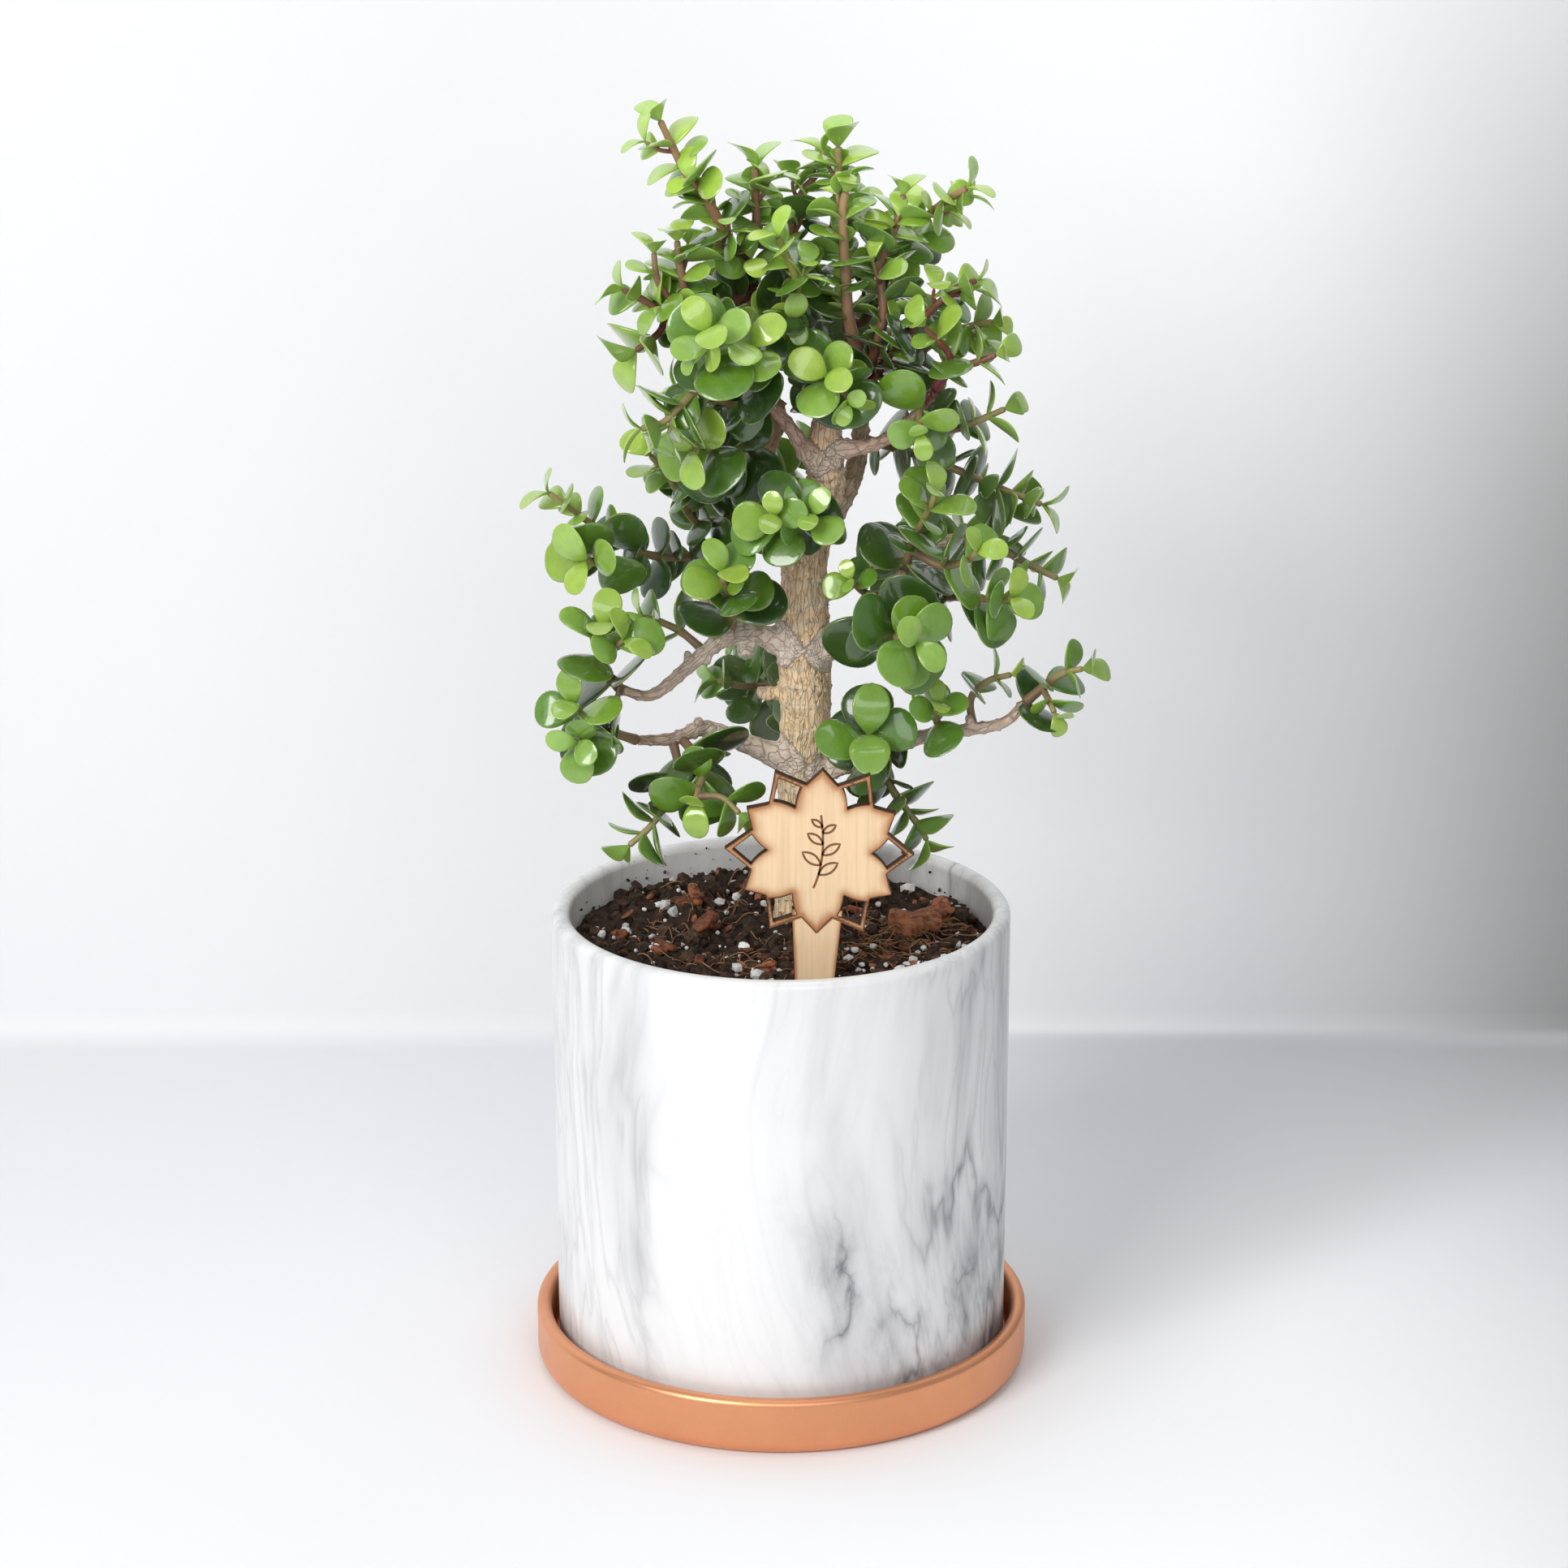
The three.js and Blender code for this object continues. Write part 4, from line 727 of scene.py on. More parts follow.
class Route:
    """The middle of a limb or stem, in millimetres, with its radius all the way along."""

    def __init__(self, waypoints, radii):
        points = [np.array(point[:3], float) for point in waypoints]
        spans = len(points) - 1
        steps = ROUTE_SAMPLES * spans
        self.points, self.radii, self.reach = [], [], [0.0]
        for i in range(steps + 1):
            along = i / steps * spans
            before = min(int(along), spans - 1)
            share = along - before
            self.points.append(curve_point(points, before, share))
            self.radii.append(radii[before] + (radii[before + 1] - radii[before]) * share)
            if i:
                self.reach.append(self.reach[-1] + float(np.linalg.norm(self.points[i] - self.points[i - 1])))
        self.length = self.reach[-1]

    def at(self, distance):
        wanted = clamp(distance, 0, self.length)
        i = 1
        while i < len(self.reach) - 1 and self.reach[i] < wanted:
            i += 1
        share = (wanted - self.reach[i - 1]) / (self.reach[i] - self.reach[i - 1])
        place = self.points[i - 1] + (self.points[i] - self.points[i - 1]) * share
        heading = unit(self.points[i] - self.points[i - 1])
        return place, heading, self.radii[i - 1] + (self.radii[i] - self.radii[i - 1]) * share

    def nearest(self, place):
        gaps = [np.linalg.norm(point - place) for point in self.points]
        return self.points[int(np.argmin(gaps))]


def square_to(direction, heading):
    return unit(direction - heading * np.dot(direction, heading))


def first_side(heading):
    start = (0.0, 0.0, 1.0) if abs(heading[2]) < 0.8 else (0.0, -1.0, 0.0)
    return square_to(np.array(start), heading)


def turn_about(v, axis, angle):
    c, s = math.cos(angle), math.sin(angle)
    return v * c + np.cross(axis, v) * s + axis * np.dot(axis, v) * (1 - c)


class Variation:
    """Small repeatable variation from leaf to leaf, from the minimal standard generator."""

    def __init__(self, seed=20407):
        self.seed = seed

    def __call__(self, amount):
        self.seed = self.seed * 16807 % 2147483647
        return (self.seed / 2147483647 * 2 - 1) * amount


class Leaf:
    """Where a leaf stands, which way it faces, and its length; pair counts from its stem's tip."""

    def __init__(self, spot, outward, opening, length, twist, owner):
        place, axis, radius = spot
        self.heading = axis * math.cos(opening) + outward * math.sin(opening)
        self.broadside = turn_about(np.cross(axis, outward), self.heading, twist)
        self.face = np.cross(self.heading, self.broadside)
        self.foot = place - outward * radius * LEAF_ROOT
        self.length = length
        self.owner = owner
        self.pair = 0
        self.feelers = np.array([self.foot + self.heading * along * length + self.broadside * across * length
                                 for along, across in FEELERS])
        self.middle = tuple(self.feelers[3])


class Growth:
    """Every route of the wood and the shoots, and every leaf that has room."""

    def __init__(self):
        self.vary = Variation()
        self.routes = {}
        self.leaves = []
        self.sprouts = {name: [] for name in SHOOTS}
        for name, (parent, points) in LIMBS.items():
            waypoints = [point[:3] for point in points]
            radii = [point[3] for point in points]
            if parent:
                foot = self.routes[parent][0].nearest(np.array(waypoints[0], float))
                waypoints.insert(0, foot)
                radii.insert(0, radii[0])
            self.routes[name] = [Route(waypoints, radii)]
        for name, (parent, stems) in SHOOTS.items():
            self.routes[name] = []
            for plan in stems:
                grown_from = (self.routes[name] or self.routes[parent])[0]
                foot = grown_from.nearest(np.array(plan["route"][0], float))
                waypoints = [foot, *plan["route"]]
                thick, thin = plan["thickness"]
                radii = [thick + (thin - thick) * i / (len(waypoints) - 1) for i in range(len(waypoints))]
                self.routes[name].append(Route(waypoints, radii))
        places, radii, owners = [], [], []
        for owner, routes in self.routes.items():
            for number, route in enumerate(routes):
                for step in range(int(route.length // WOOD_STEP) + 1):
                    place, _, radius = route.at(step * WOOD_STEP)
                    places.append(place)
                    radii.append(radius)
                    owners.append(hash_of(owner, number))
        self.wood = np.array(places)
        self.wood_radii = np.array(radii)
        self.wood_owners = np.array(owners)
        for name, number, plan, route in self.stems():
            self.grow_leaves(name, number, route, plan)
        self.fill_in(random.Random(17))

    def touches_pot(self, points):
        lip = POT_HIGH.z / MM + POT_CLEAR
        over_pot = (np.hypot(points[:, 0], points[:, 1]) < POT_RADIUS / MM + POT_CLEAR) & (points[:, 2] < lip)
        across, up = PICK_MIDDLE
        tip = PICK_FRAME_TIP + POT_CLEAR
        near_plate = np.abs(points[:, 1] - PICK_LOW.y / MM - PICK_HALF) < PICK_CLEAR
        on_pick = (np.abs(points[:, 0] - across) < tip) & near_plate & (points[:, 2] < up + tip)
        return bool((over_pot | on_pick).any())

    def has_room(self, leaf, number, slack=1.0):
        if self.touches_pot(leaf.feelers):
            return False
        others = self.wood_owners != hash_of(leaf.owner, number)
        limits = self.wood_radii[others] + (WOOD_CLEAR[0] + WOOD_CLEAR[1] * leaf.length) * slack
        gaps = np.linalg.norm(self.wood[others][None, :, :] - leaf.feelers[:, None, :], axis=2)
        if (gaps < limits[None, :]).any():
            return False
        for other in self.leaves:
            lengths = leaf.length + other.length
            if math.dist(other.middle, leaf.middle) > lengths:
                continue
            closer = SIBLING_CLEAR if other.owner == leaf.owner else 1
            apart = closer * (LEAF_CLEAR[0] + LEAF_CLEAR[1] * lengths)
            if (np.linalg.norm(leaf.feelers[:, None] - other.feelers[None], axis=2) < apart * slack).any():
                return False
        return True

    def sprout(self, name, number, spot, outward, chance):
        """Tries a short side twig with two leaf pairs, and keeps it if three of its leaves have room."""
        place, axis, _ = spot
        length = chance.uniform(5, 11)
        heading = unit(outward + axis * chance.uniform(0.5, 1.3))
        end = place + unit(heading + axis * 0.3) * length
        twig = Route([place, place + heading * length / 2, end], SPROUT_RADII)
        side = first_side(heading)
        opened = []
        for pair, (share, angles, scale) in enumerate(SPROUT_PAIRS):
            tip = twig.at(twig.length * share)
            for way in (0, math.pi):
                out = turn_about(square_to(side, tip[1]), tip[1], way + pair * math.pi / 2)
                opening = math.radians(chance.uniform(*angles))
                leaf = Leaf(tip, out, opening, chance.uniform(9, 13) * scale, chance.uniform(-0.3, 0.3), name)
                leaf.pair = pair if place[2] > BRIGHT_FROM else pair + 1
                if self.has_room(leaf, number, SPROUT_SLACK):
                    opened.append(leaf)
        if len(opened) > 2:
            self.leaves += opened
            self.sprouts[name].append(twig)

    def stems(self):
        """Every stem as its shoot's name, its number, its plan and its route."""
        return [(name, number, plan, self.routes[name][number])
                for name, (_, stems) in SHOOTS.items() for number, plan in enumerate(stems)]

    def fill_in(self, chance):
        """Short sprouts high in the crown, then smaller leaves between the pairs of the longer stems."""
        for name, number, _, route in self.stems():
            from_tip = SPROUT_START
            while from_tip < route.length - FOOT_BARE:
                spot = route.at(route.length - from_tip)
                place, heading, _ = spot
                if chance.random() < SPROUT_SHARE * clamp((place[2] - SPROUT_FROM) / SPROUT_RISE):
                    turn = chance.uniform(0, math.tau)
                    outward = turn_about(square_to(first_side(heading), heading), heading, turn)
                    self.sprout(name, number, spot, outward, chance)
                from_tip += chance.uniform(4, 7)
        for name, number, plan, route in self.stems():
            if route.length >= FILL_FROM:
                self.fill_stem(name, number, plan, route, chance)

    def fill_stem(self, name, number, plan, route, chance):
        """Smaller leaves halfway between a stem's pairs and along its bare foot."""
        bands = [FIRST_PAIR, *(route.length - band for band in plan["bands"][1:])]
        spots = [(a + b) / 2 for a, b in zip(bands[1:], bands[2:])]
        from_tip = bands[-1] + plan["gap"] * 0.7
        while from_tip < route.length - FOOT_BARE:
            spots.append(from_tip)
            from_tip += plan["gap"] * 0.8
        side = first_side(route.at(0)[1])
        for i, from_tip in enumerate(spots):
            spot = route.at(route.length - from_tip)
            turn = chance.uniform(0, math.pi)
            for way in (0, math.pi):
                outward = turn_about(square_to(side, spot[1]), spot[1], turn + way)
                for scale in (1, 0.8, 0.6):
                    length = plan["leaf_lengths"][0] * LEAF_VIGOUR * chance.uniform(0.55, 0.9) * scale
                    opening = math.radians(chance.uniform(40, 85))
                    leaf = Leaf(spot, outward, opening, length, chance.uniform(-0.4, 0.4), name)
                    if length > FILL_SHORTEST and self.has_room(leaf, number, FILL_SLACK):
                        leaf.pair = min(4, 1 + i)
                        self.leaves.append(leaf)
                        break

    def grow_leaves(self, owner, number, route, plan):
        """Opposite pairs, each a quarter turn from the last, larger and more open away from the tip."""
        heading = route.at(0)[1]
        side = turn_about(first_side(heading), heading, math.radians(plan["turn"]))
        foot_length, tip_length = (length * LEAF_VIGOUR for length in plan["leaf_lengths"])
        gap = plan["gap"] * PAIR_SPACING
        bands = [FIRST_PAIR]
        while bands[-1] + gap * 0.45 < route.length - plan["bare"]:
            bands.append(bands[-1] + gap * GAP_GROWTH[min(len(bands) - 1, 2)])
        plan["bands"] = [route.length - band for band in bands]
        for pair, from_tip in enumerate(bands):
            spot = route.at(route.length - from_tip)
            ripeness = min(1, pair / GROWN_PAIR)
            opening = PAIR_OPENINGS[min(pair, 3)]
            for way in (1, -1):
                outward = square_to(side, spot[1]) * way
                outward = turn_about(outward, spot[1], math.pi / 2 * (pair % 2) + self.vary(0.25))
                size = tip_length * TIP_SIZE + (foot_length - tip_length * TIP_SIZE) * ripeness
                size *= 1 + self.vary(0.12)
                swing = opening + self.vary(9)
                twist = self.vary(0.35)
                for change, scale in CANDIDATES:
                    angle = math.radians(swing + change)
                    leaf = Leaf(spot, outward, angle, size * scale, twist, owner)
                    if self.has_room(leaf, number):
                        leaf.pair = pair
                        self.leaves.append(leaf)
                        break


def hash_of(owner, number):
    """One whole number for a stem: its owner's place in the tables, and its own number."""
    return OWNERS.index(owner) * 8 + number


OWNERS = [*LIMBS, *SHOOTS]
growth = Growth()


# ---------------------------------------------------------------- wood
KNOBS = (   # pruned stubs: foot, end and radius in millimetres
    ((-6, 23, 306), (-3, 25, 321), 5.2), ((9, 17, 225), (-8, 15, 225.5), 2.3),
    ((8, 15, 268), (2, 8, 270), 2.6), ((13, 15, 300), (18, 9, 303), 2.4), ((7, 17, 236), (0, 9, 238), 2.2),
    ((-18, 4, 246), (-17, -2, 250), 2.0), ((28, 9, 205), (30, 6, 209), 1.9),
    ((62, -1, 218), (60, -3, 223), 1.5), ((50, 1, 216), (50, -3, 213), 1.6),
    ((-25, 3, 216), (-27, 0, 221), 1.9), ((24, 7, 249), (22, 3, 253), 1.8),
    ((-8, 22, 296), (-14, 19, 299), 2.6), ((-9, 10, 247), (-19, 6, 256), 2.8),
    ((-19, 6, 256), (-26, 4, 259), 2.1), ((-10, 9, 247), (-12, 5, 241), 2.7),
    ((-23, 1, 244.5), (-24, -2, 240), 1.7), ((-29, -3, 240), (-30, -6, 245), 1.6),
    ((22, 9, 247), (24, 6, 242), 1.9),
)
RING_GAP = 6.6                   # millimetres between the rings of thick wood
MOSS_FROM = 235                  # height where the trunk's mossy tint starts, and how far down it grows
MOSS_FADE = 60
BARK_TONES = {   # colour at the foot and at the far end
    "trunk": ((0.95, 0.71, 0.44), (0.95, 0.62, 0.42)),
    "leader_left": ((0.86, 0.54, 0.37), (0.28, 0.075, 0.06)),
    "leader_rear": ((0.55, 0.4, 0.28), (0.2, 0.06, 0.05)),
    "limb_right_upper": ((0.72, 0.48, 0.38), (0.2, 0.025, 0.04)),
    "limb_upper_left": ((0.72, 0.48, 0.38), (0.24, 0.04, 0.05)),
}
LIMB_TONES = ((0.86, 0.72, 0.62), (0.44, 0.29, 0.21))


def tube(bm, route, sides, step, swell=None, paint=None):
    """Adds a closed cylinder bent along a route. Swell changes its radius along the way. Paint holds its
    "band" and "wash" layers, its colours at both ends, and how strong the band is along the way."""
    rings = max(3, round(route.length / step))
    first = len(bm.verts)
    made = bmesh.ops.create_cone(
        bm, cap_ends=True, cap_tris=False, segments=sides, radius1=1, radius2=1, depth=1)
    lengthwise = [edge for edge in {e for v in made["verts"] for e in v.link_edges}
                  if abs(edge.verts[0].co.z - edge.verts[1].co.z) > 0.5]
    bmesh.ops.subdivide_edges(bm, edges=lengthwise, cuts=rings - 1, use_grid_fill=True)
    bm.verts.ensure_lookup_table()
    frames = []
    side = first_side(route.at(0)[1])
    for i in range(rings + 1):
        place, heading, radius = route.at(route.length * i / rings)
        side = square_to(side, heading)
        frames.append((place, side, np.cross(heading, side), radius))
    for vert in bm.verts[first:]:
        i = round((vert.co.z + 0.5) * rings)
        place, side, other, radius = frames[i]
        reach = route.length * i / rings
        width = radius * (swell(reach) if swell else 1)
        vert.co = Vector((place + side * vert.co.x * width + other * vert.co.y * width) * MM)
        if paint:
            band, wash, foot_tone, tip_tone, band_at = paint
            vert[band] = band_at(reach)
            vert[wash] = (*blend(foot_tone, tip_tone, i / rings), 1)


def limb_swell(parent_radius):
    """Thick where the limb leaves its parent, then a little slimmer than its route says."""
    def swell(reach):
        return 0.8 + 0.28 * math.exp(-max(0, reach - parent_radius) / 3)
    return swell


def voxel_union(bm, voxel):
    """Melts overlapping closed tubes into one skin."""
    raw = show("raw_wood", mesh_of("raw_wood", bm))
    melt = raw.modifiers.new("Melt", "REMESH")
    melt.mode = "VOXEL"
    melt.voxel_size = voxel
    depsgraph = bpy.context.evaluated_depsgraph_get()
    melted = bpy.data.meshes.new_from_object(raw.evaluated_get(depsgraph))
    bpy.data.objects.remove(raw)
    skin = bmesh.new()
    skin.from_mesh(melted)
    bpy.data.meshes.remove(melted)
    return skin


def wood_samples():
    """Points along all limbs as (name, place, reach, radius, heading, length of the limb)."""
    samples = []
    for name in LIMBS:
        route = growth.routes[name][0]
        for place, reach, radius in zip(route.points, route.reach, route.radii):
            samples.append((name, place, reach, radius, route.at(reach)[1], route.length))
    return samples


def weather(skin, fissure_depth, collar_height):
    """Adds rings, fissures and colour to the melted skin by its place on the nearest limb."""
    samples = wood_samples()
    tree = kdtree.KDTree(len(samples))
    for i, sample in enumerate(samples):
        tree.insert(Vector(sample[1]), i)
    tree.balance()
    wash = skin.verts.layers.float_color.new("wash")
    hollow = skin.verts.layers.float.new("fissure")
    grain = skin.verts.layers.float_vector.new("grain")
    skin.normal_update()
    moves = []
    for vert in skin.verts:
        here = vert.co / MM
        found = tree.find_n(here, 8)
        best = min(found, key=lambda hit: hit[2] - samples[hit[1]][3])
        name, place, reach, radius, heading, length = samples[best[1]]
        heading = Vector(heading)
        offset = here - Vector(place)
        slip = offset.dot(heading)
        girth = offset - heading * slip
        along = reach + slip
        owner = OWNERS.index(name)
        wander = noise.noise(Vector((girth.x * 0.12, girth.y * 0.12, along * 0.05 + owner * 7))) * 2.6
        vert[grain] = (
            girth.x + girth.z * heading.x, girth.y + girth.z * heading.y + owner * 13, along * 0.42)
        phase = (along + wander + owner * 1.7) / (RING_GAP * clamp(radius / 6, 0.75, 1.1))
        off_ring = phase - round(phase)
        ring = math.exp(-(off_ring * 6.0) ** 2)
        uneven = 0.5 + noise.noise(Vector((math.floor(phase) * 3.1, owner * 5.3, 0.7)))
        stretched = girth * 0.5 + Vector((owner * 3.7, along * 0.085, -along * 0.06))
        ridge = 1 - abs(noise.fractal(stretched, 0.9, 2.1, 4)) * 3.2
        crack = clamp(ridge, 0, 1) ** 4
        lumps = noise.noise(here * 0.22) * 0.5 + noise.noise(here * 0.7) * 0.25
        stout = clamp((radius - 1.8) / 5, 0.12, 1)
        lift = collar_height * ring * uneven * (0.75 + 0.25 * stout) - fissure_depth * crack * stout
        lift += lumps * 0.7 * MM * stout
        moves.append((vert, vert.normal * lift))
        share = clamp(along / length)
        foot, end = BARK_TONES.get(name, LIMB_TONES)
        tone = blend(foot, end, share ** 2.2)
        if name == "trunk":
            moss = clamp((MOSS_FROM - here.z) / MOSS_FADE) * clamp(0.5 + noise.noise(here * 0.06) * 1.2)
            tone = blend(tone, (0.66, 0.56, 0.26), moss * 0.6)
        if name in ("limb_right_upper", "limb_upper_left") and share < 0.3:
            tone = blend(LIMB_TONES[0], tone, share / 0.3)
        pale = clamp(ring * uneven * 1.3)
        tone = blend(tone, (0.86, 0.76, 0.62), pale * 0.6 * stout)
        mottle = noise.noise(here * 0.35 + Vector((9, 0, 0)))
        vert[wash] = (*shaded(tone, 1 + 0.28 * mottle), 1)
        groove = clamp(1 - abs(off_ring - 0.12) * 20)
        vert[hollow] = clamp(crack * stout + 0.75 * groove * (0.3 + 0.7 * stout))
    for vert, move in moves:
        vert.co += move


def build_wood(settings):
    bm = bmesh.new()
    for name, (parent, _) in LIMBS.items():
        route = growth.routes[name][0]
        swell = limb_swell(growth.routes[parent][0].radii[0] * 0.85) if parent == "trunk" else None
        tube(bm, route, 14, 1.6, swell)
    for foot, end, radius in KNOBS:
        tube(bm, Route([foot, end], [radius, radius * 0.93]), 12, 1.5)
    skin = voxel_union(bm, settings.voxel)
    for _ in range(3):
        bmesh.ops.smooth_vert(
            skin, verts=skin.verts, factor=0.5, use_axis_x=True, use_axis_y=True, use_axis_z=True)
    weather(skin, settings.fissure, settings.collar)
    return finish_piece("wood", skin, [bark_skin()], tuple(LIMBS))


# ---------------------------------------------------------------- leaves and green stems
STEM_TONES = {   # colour of a green stem at its foot and tip
    "shoot_top_left": ((0.13, 0.012, 0.018), (0.42, 0.26, 0.13)),
    "shoot_top_right": ((0.12, 0.02, 0.018), (0.33, 0.21, 0.11)),
    "shoot_top_right_outer": ((0.12, 0.05, 0.025), (0.36, 0.22, 0.11)),
    "shoot_top_centre": ((0.3, 0.16, 0.1), (0.38, 0.25, 0.12)),
    "shoot_crown_middle": ((0.16, 0.03, 0.03), (0.3, 0.16, 0.1)),
    "shoot_front_olive": ((0.24, 0.22, 0.05), (0.27, 0.3, 0.06)),
    "shoot_left_tips": ((0.17, 0.012, 0.03), (0.2, 0.09, 0.06)),
    "shoot_right_1": ((0.2, 0.02, 0.03), (0.24, 0.1, 0.05)),
    "shoot_right_3": ((0.17, 0.014, 0.03), (0.2, 0.08, 0.05)),
    "shoot_left_upper": ((0.14, 0.02, 0.025), (0.3, 0.19, 0.11)),
    "shoot_front_left": ((0.3, 0.22, 0.1), (0.4, 0.36, 0.14)),
    "shoot_hanging_right": ((0.2, 0.16, 0.09), (0.26, 0.3, 0.08)),
}
GREEN_STEM = ((0.2, 0.12, 0.075), (0.33, 0.3, 0.11))
STEM_SIDES = 6
STEM_STEP = 1.3                  # millimetres between the rings of a stem
# shares of a leaf's length
STALK_RADIUS = 0.055
CREASE = 0.012
FULL_WIDTH = 1.14                # how much wider and thicker the control shape is than the smoothed leaf
FULL_THICKNESS = 1.15
POLE = 1e-4                      # closer than this to the axis or an end counts as a pole


def node_swell(bands):
    """Swells a stem at its foot and at each leaf pair."""
    def swell(reach):
        nearest = min((abs(reach - band) for band in bands), default=9)
        return 1.0 + 0.2 * math.exp(-(nearest / 0.9) ** 2) + 0.25 * math.exp(-max(0, reach) / 2.5)
    return swell


def node_band(bands):
    """A dark ring on the stem just above each leaf pair."""
    def band(reach):
        nearest = min((abs(reach - place - 0.9) for place in bands), default=9)
        return math.exp(-(nearest / 0.55) ** 2)
    return band


def leaf_colour(leaf, settings, chance):
    """Bright at the tips and dark on the older pairs. Leaves low down and close to the trunk are darker still,
    partly as older leaves and partly as painted shade, and leaves high up get painted light.
    """
    age = clamp(leaf.pair / 3.2)
    middle = leaf.feelers[3]
    # painted shade and light: the age below is raised for leaves close to the trunk and low down, darkening
    # them, and lowered high up, brightening them
    inside = 1 - clamp(math.hypot(middle[0] - 8, middle[1] - 15) / 62)
    light = clamp((middle[2] - 200) / 190)
    age = clamp(age + 0.3 * inside * clamp(leaf.pair / 2) + 0.2 - 0.42 * light + chance.uniform(-0.16, 0.16))
    if age < 0.5:
        tone = blend(settings.young, settings.grown, age * 2)
    else:
        tone = blend(settings.grown, settings.old, age * 2 - 1)
    shift = chance.uniform(-0.1, 0.1)
    # painted light: leaves high in the crown are made brighter still
    painted_crown_light = 1 + 0.22 * clamp((middle[2] - 350) / 40)
    return tuple(c * change * painted_crown_light for c, change in zip(tone, (1 + shift * 1.4, 1 + shift * 0.6, 1 - shift)))


def add_leaf(bm, leaf, settings, layers, chance):
    """A thick obovate leaf on a short stalk: young ones cupped and curled back, old ones round and full."""
    wash, along_layer, across_layer, side_layer = layers
    made = bmesh.ops.create_uvsphere(bm, u_segments=8, v_segments=7, radius=1)
    age = clamp(leaf.pair / 2.5)
    fullness = chance.uniform(-0.12, 0.12)
    taper = 1.95 - 0.5 * age + fullness
    width = settings.half_width * (0.84 + 0.2 * age) * chance.uniform(0.93, 1.07) * FULL_WIDTH
    thickness = settings.half_thickness * (1.12 - 0.12 * age) * FULL_THICKNESS
    cup = 0.2 - 0.22 * age + chance.uniform(-0.06, 0.06)
    curl = 0.82 - 0.74 * age ** 0.7 + chance.uniform(-0.12, 0.12)
    sway = chance.uniform(-0.05, 0.05)
    tone = leaf_colour(leaf, settings, chance)
    foot, heading, broadside, face = (
        Vector(v) for v in (leaf.foot, leaf.heading, leaf.broadside, leaf.face))
    for vert in made["verts"]:
        x, y, z = vert.co
        along = clamp((1 - z) / 2)
        ring = math.hypot(x, y)
        turn_x, turn_y = (x / ring, y / ring) if ring > POLE else (0, 0)
        s = along ** taper
        stalk = STALK_RADIUS * clamp(1 - abs(along - 0.1) * 7)
        half = max(2 * width * math.sqrt(max(0, s * (1 - s))), stalk)
        thick = max(thickness * math.sin(math.pi * along ** 0.85) ** 0.75, stalk * 0.9)
        if along < POLE or along > 1 - POLE:
            half = thick = 0
        across = turn_x * half
        lift = turn_y * thick
        spread = (across / width) ** 2
        lift += cup * spread * width - curl * max(0, along - 0.22) ** 2 + sway * across * along
        if turn_y > 0.5:   # a shallow crease along the middle of the upper face
            lift -= math.exp(-(turn_x / 0.4) ** 2) * CREASE * (1 - along)
        point = heading * along + broadside * (across + sway * along ** 2) + face * lift
        vert.co = (foot + point * leaf.length) * MM
        vert[wash] = (*tone, 1)
        vert[along_layer] = along
        vert[across_layer] = turn_x
        vert[side_layer] = turn_y


def build_shoot(name, settings, skins, chance):
    bm = bmesh.new()
    wash = bm.verts.layers.float_color.new("wash")
    band = bm.verts.layers.float.new("band")
    layers = (wash, *(bm.verts.layers.float.new(key) for key in ("along", "across", "side")))
    paint = (band, wash, *STEM_TONES.get(name, GREEN_STEM))
    for route, plan in zip(growth.routes[name], SHOOTS[name][1]):
        bands = plan["bands"]
        tube(bm, route, STEM_SIDES, STEM_STEP, node_swell(bands), (*paint, node_band(bands)))
    for twig in growth.sprouts[name]:
        tube(bm, twig, STEM_SIDES, STEM_STEP, None, (*paint, lambda reach: 0))
    for face in bm.faces:
        face.material_index = 1
    for leaf in growth.leaves:
        if leaf.owner == name:
            add_leaf(bm, leaf, settings, layers, chance)
    bmesh.ops.recalc_face_normals(bm, faces=bm.faces)
    return finish_piece(name, bm, skins, (name,), levels=1)


# ---------------------------------------------------------------- pot and saucer
def build_saucer(settings):
    outer, top = SAUCER_RADIUS, SAUCER_HIGH.z
    lip = settings.wall / 2
    inner = outer - settings.wall
    hollow = 0.8 * MM
    profile = [
        (0, hollow), (outer * 0.72, hollow), (outer * 0.73, 0),
        *arc(outer - settings.corner, settings.corner, settings.corner, -90, 0, 10),
        *arc(outer - lip, top - lip, lip, 0, 180, 18),
        (inner, settings.floor + 2 * MM),
        *arc(inner - 2 * MM, settings.floor + 2 * MM, 2 * MM, 0, -90, 4),
        (0, settings.floor),
    ]
    coat = copper_coat(settings.copper)
    return finish_piece("saucer", turned(profile), [coat], ("saucer",))


def build_pot(settings):
    outer, top, foot = POT_RADIUS, POT_HIGH.z, POT_LOW.z
    inner = outer - settings.wall
    lip = settings.wall / 2
    corner = 3 * MM
    hollow = 1 * MM
    deep = foot + settings.floor
    profile = [
        (settings.drain, foot + hollow), (outer * 0.8, foot + hollow), (outer * 0.81, foot),
        *arc(outer - corner, foot + corner, corner, -90, 0, 8),
        *((outer, foot + (top - foot) * share) for share in (0.25, 0.5, 0.75)),
        *arc(outer - lip, top - lip, lip, 0, 180, 20),
        (inner, foot + (top - foot) * 0.5),
        *arc(inner - corner, deep + corner, corner, 0, -90, 5),
        (settings.drain, deep),
    ]
    glaze = marbled_glaze(settings.glaze, settings.vein)
    return finish_piece("pot", turned([*profile, profile[0]]), [glaze], ("pot",))


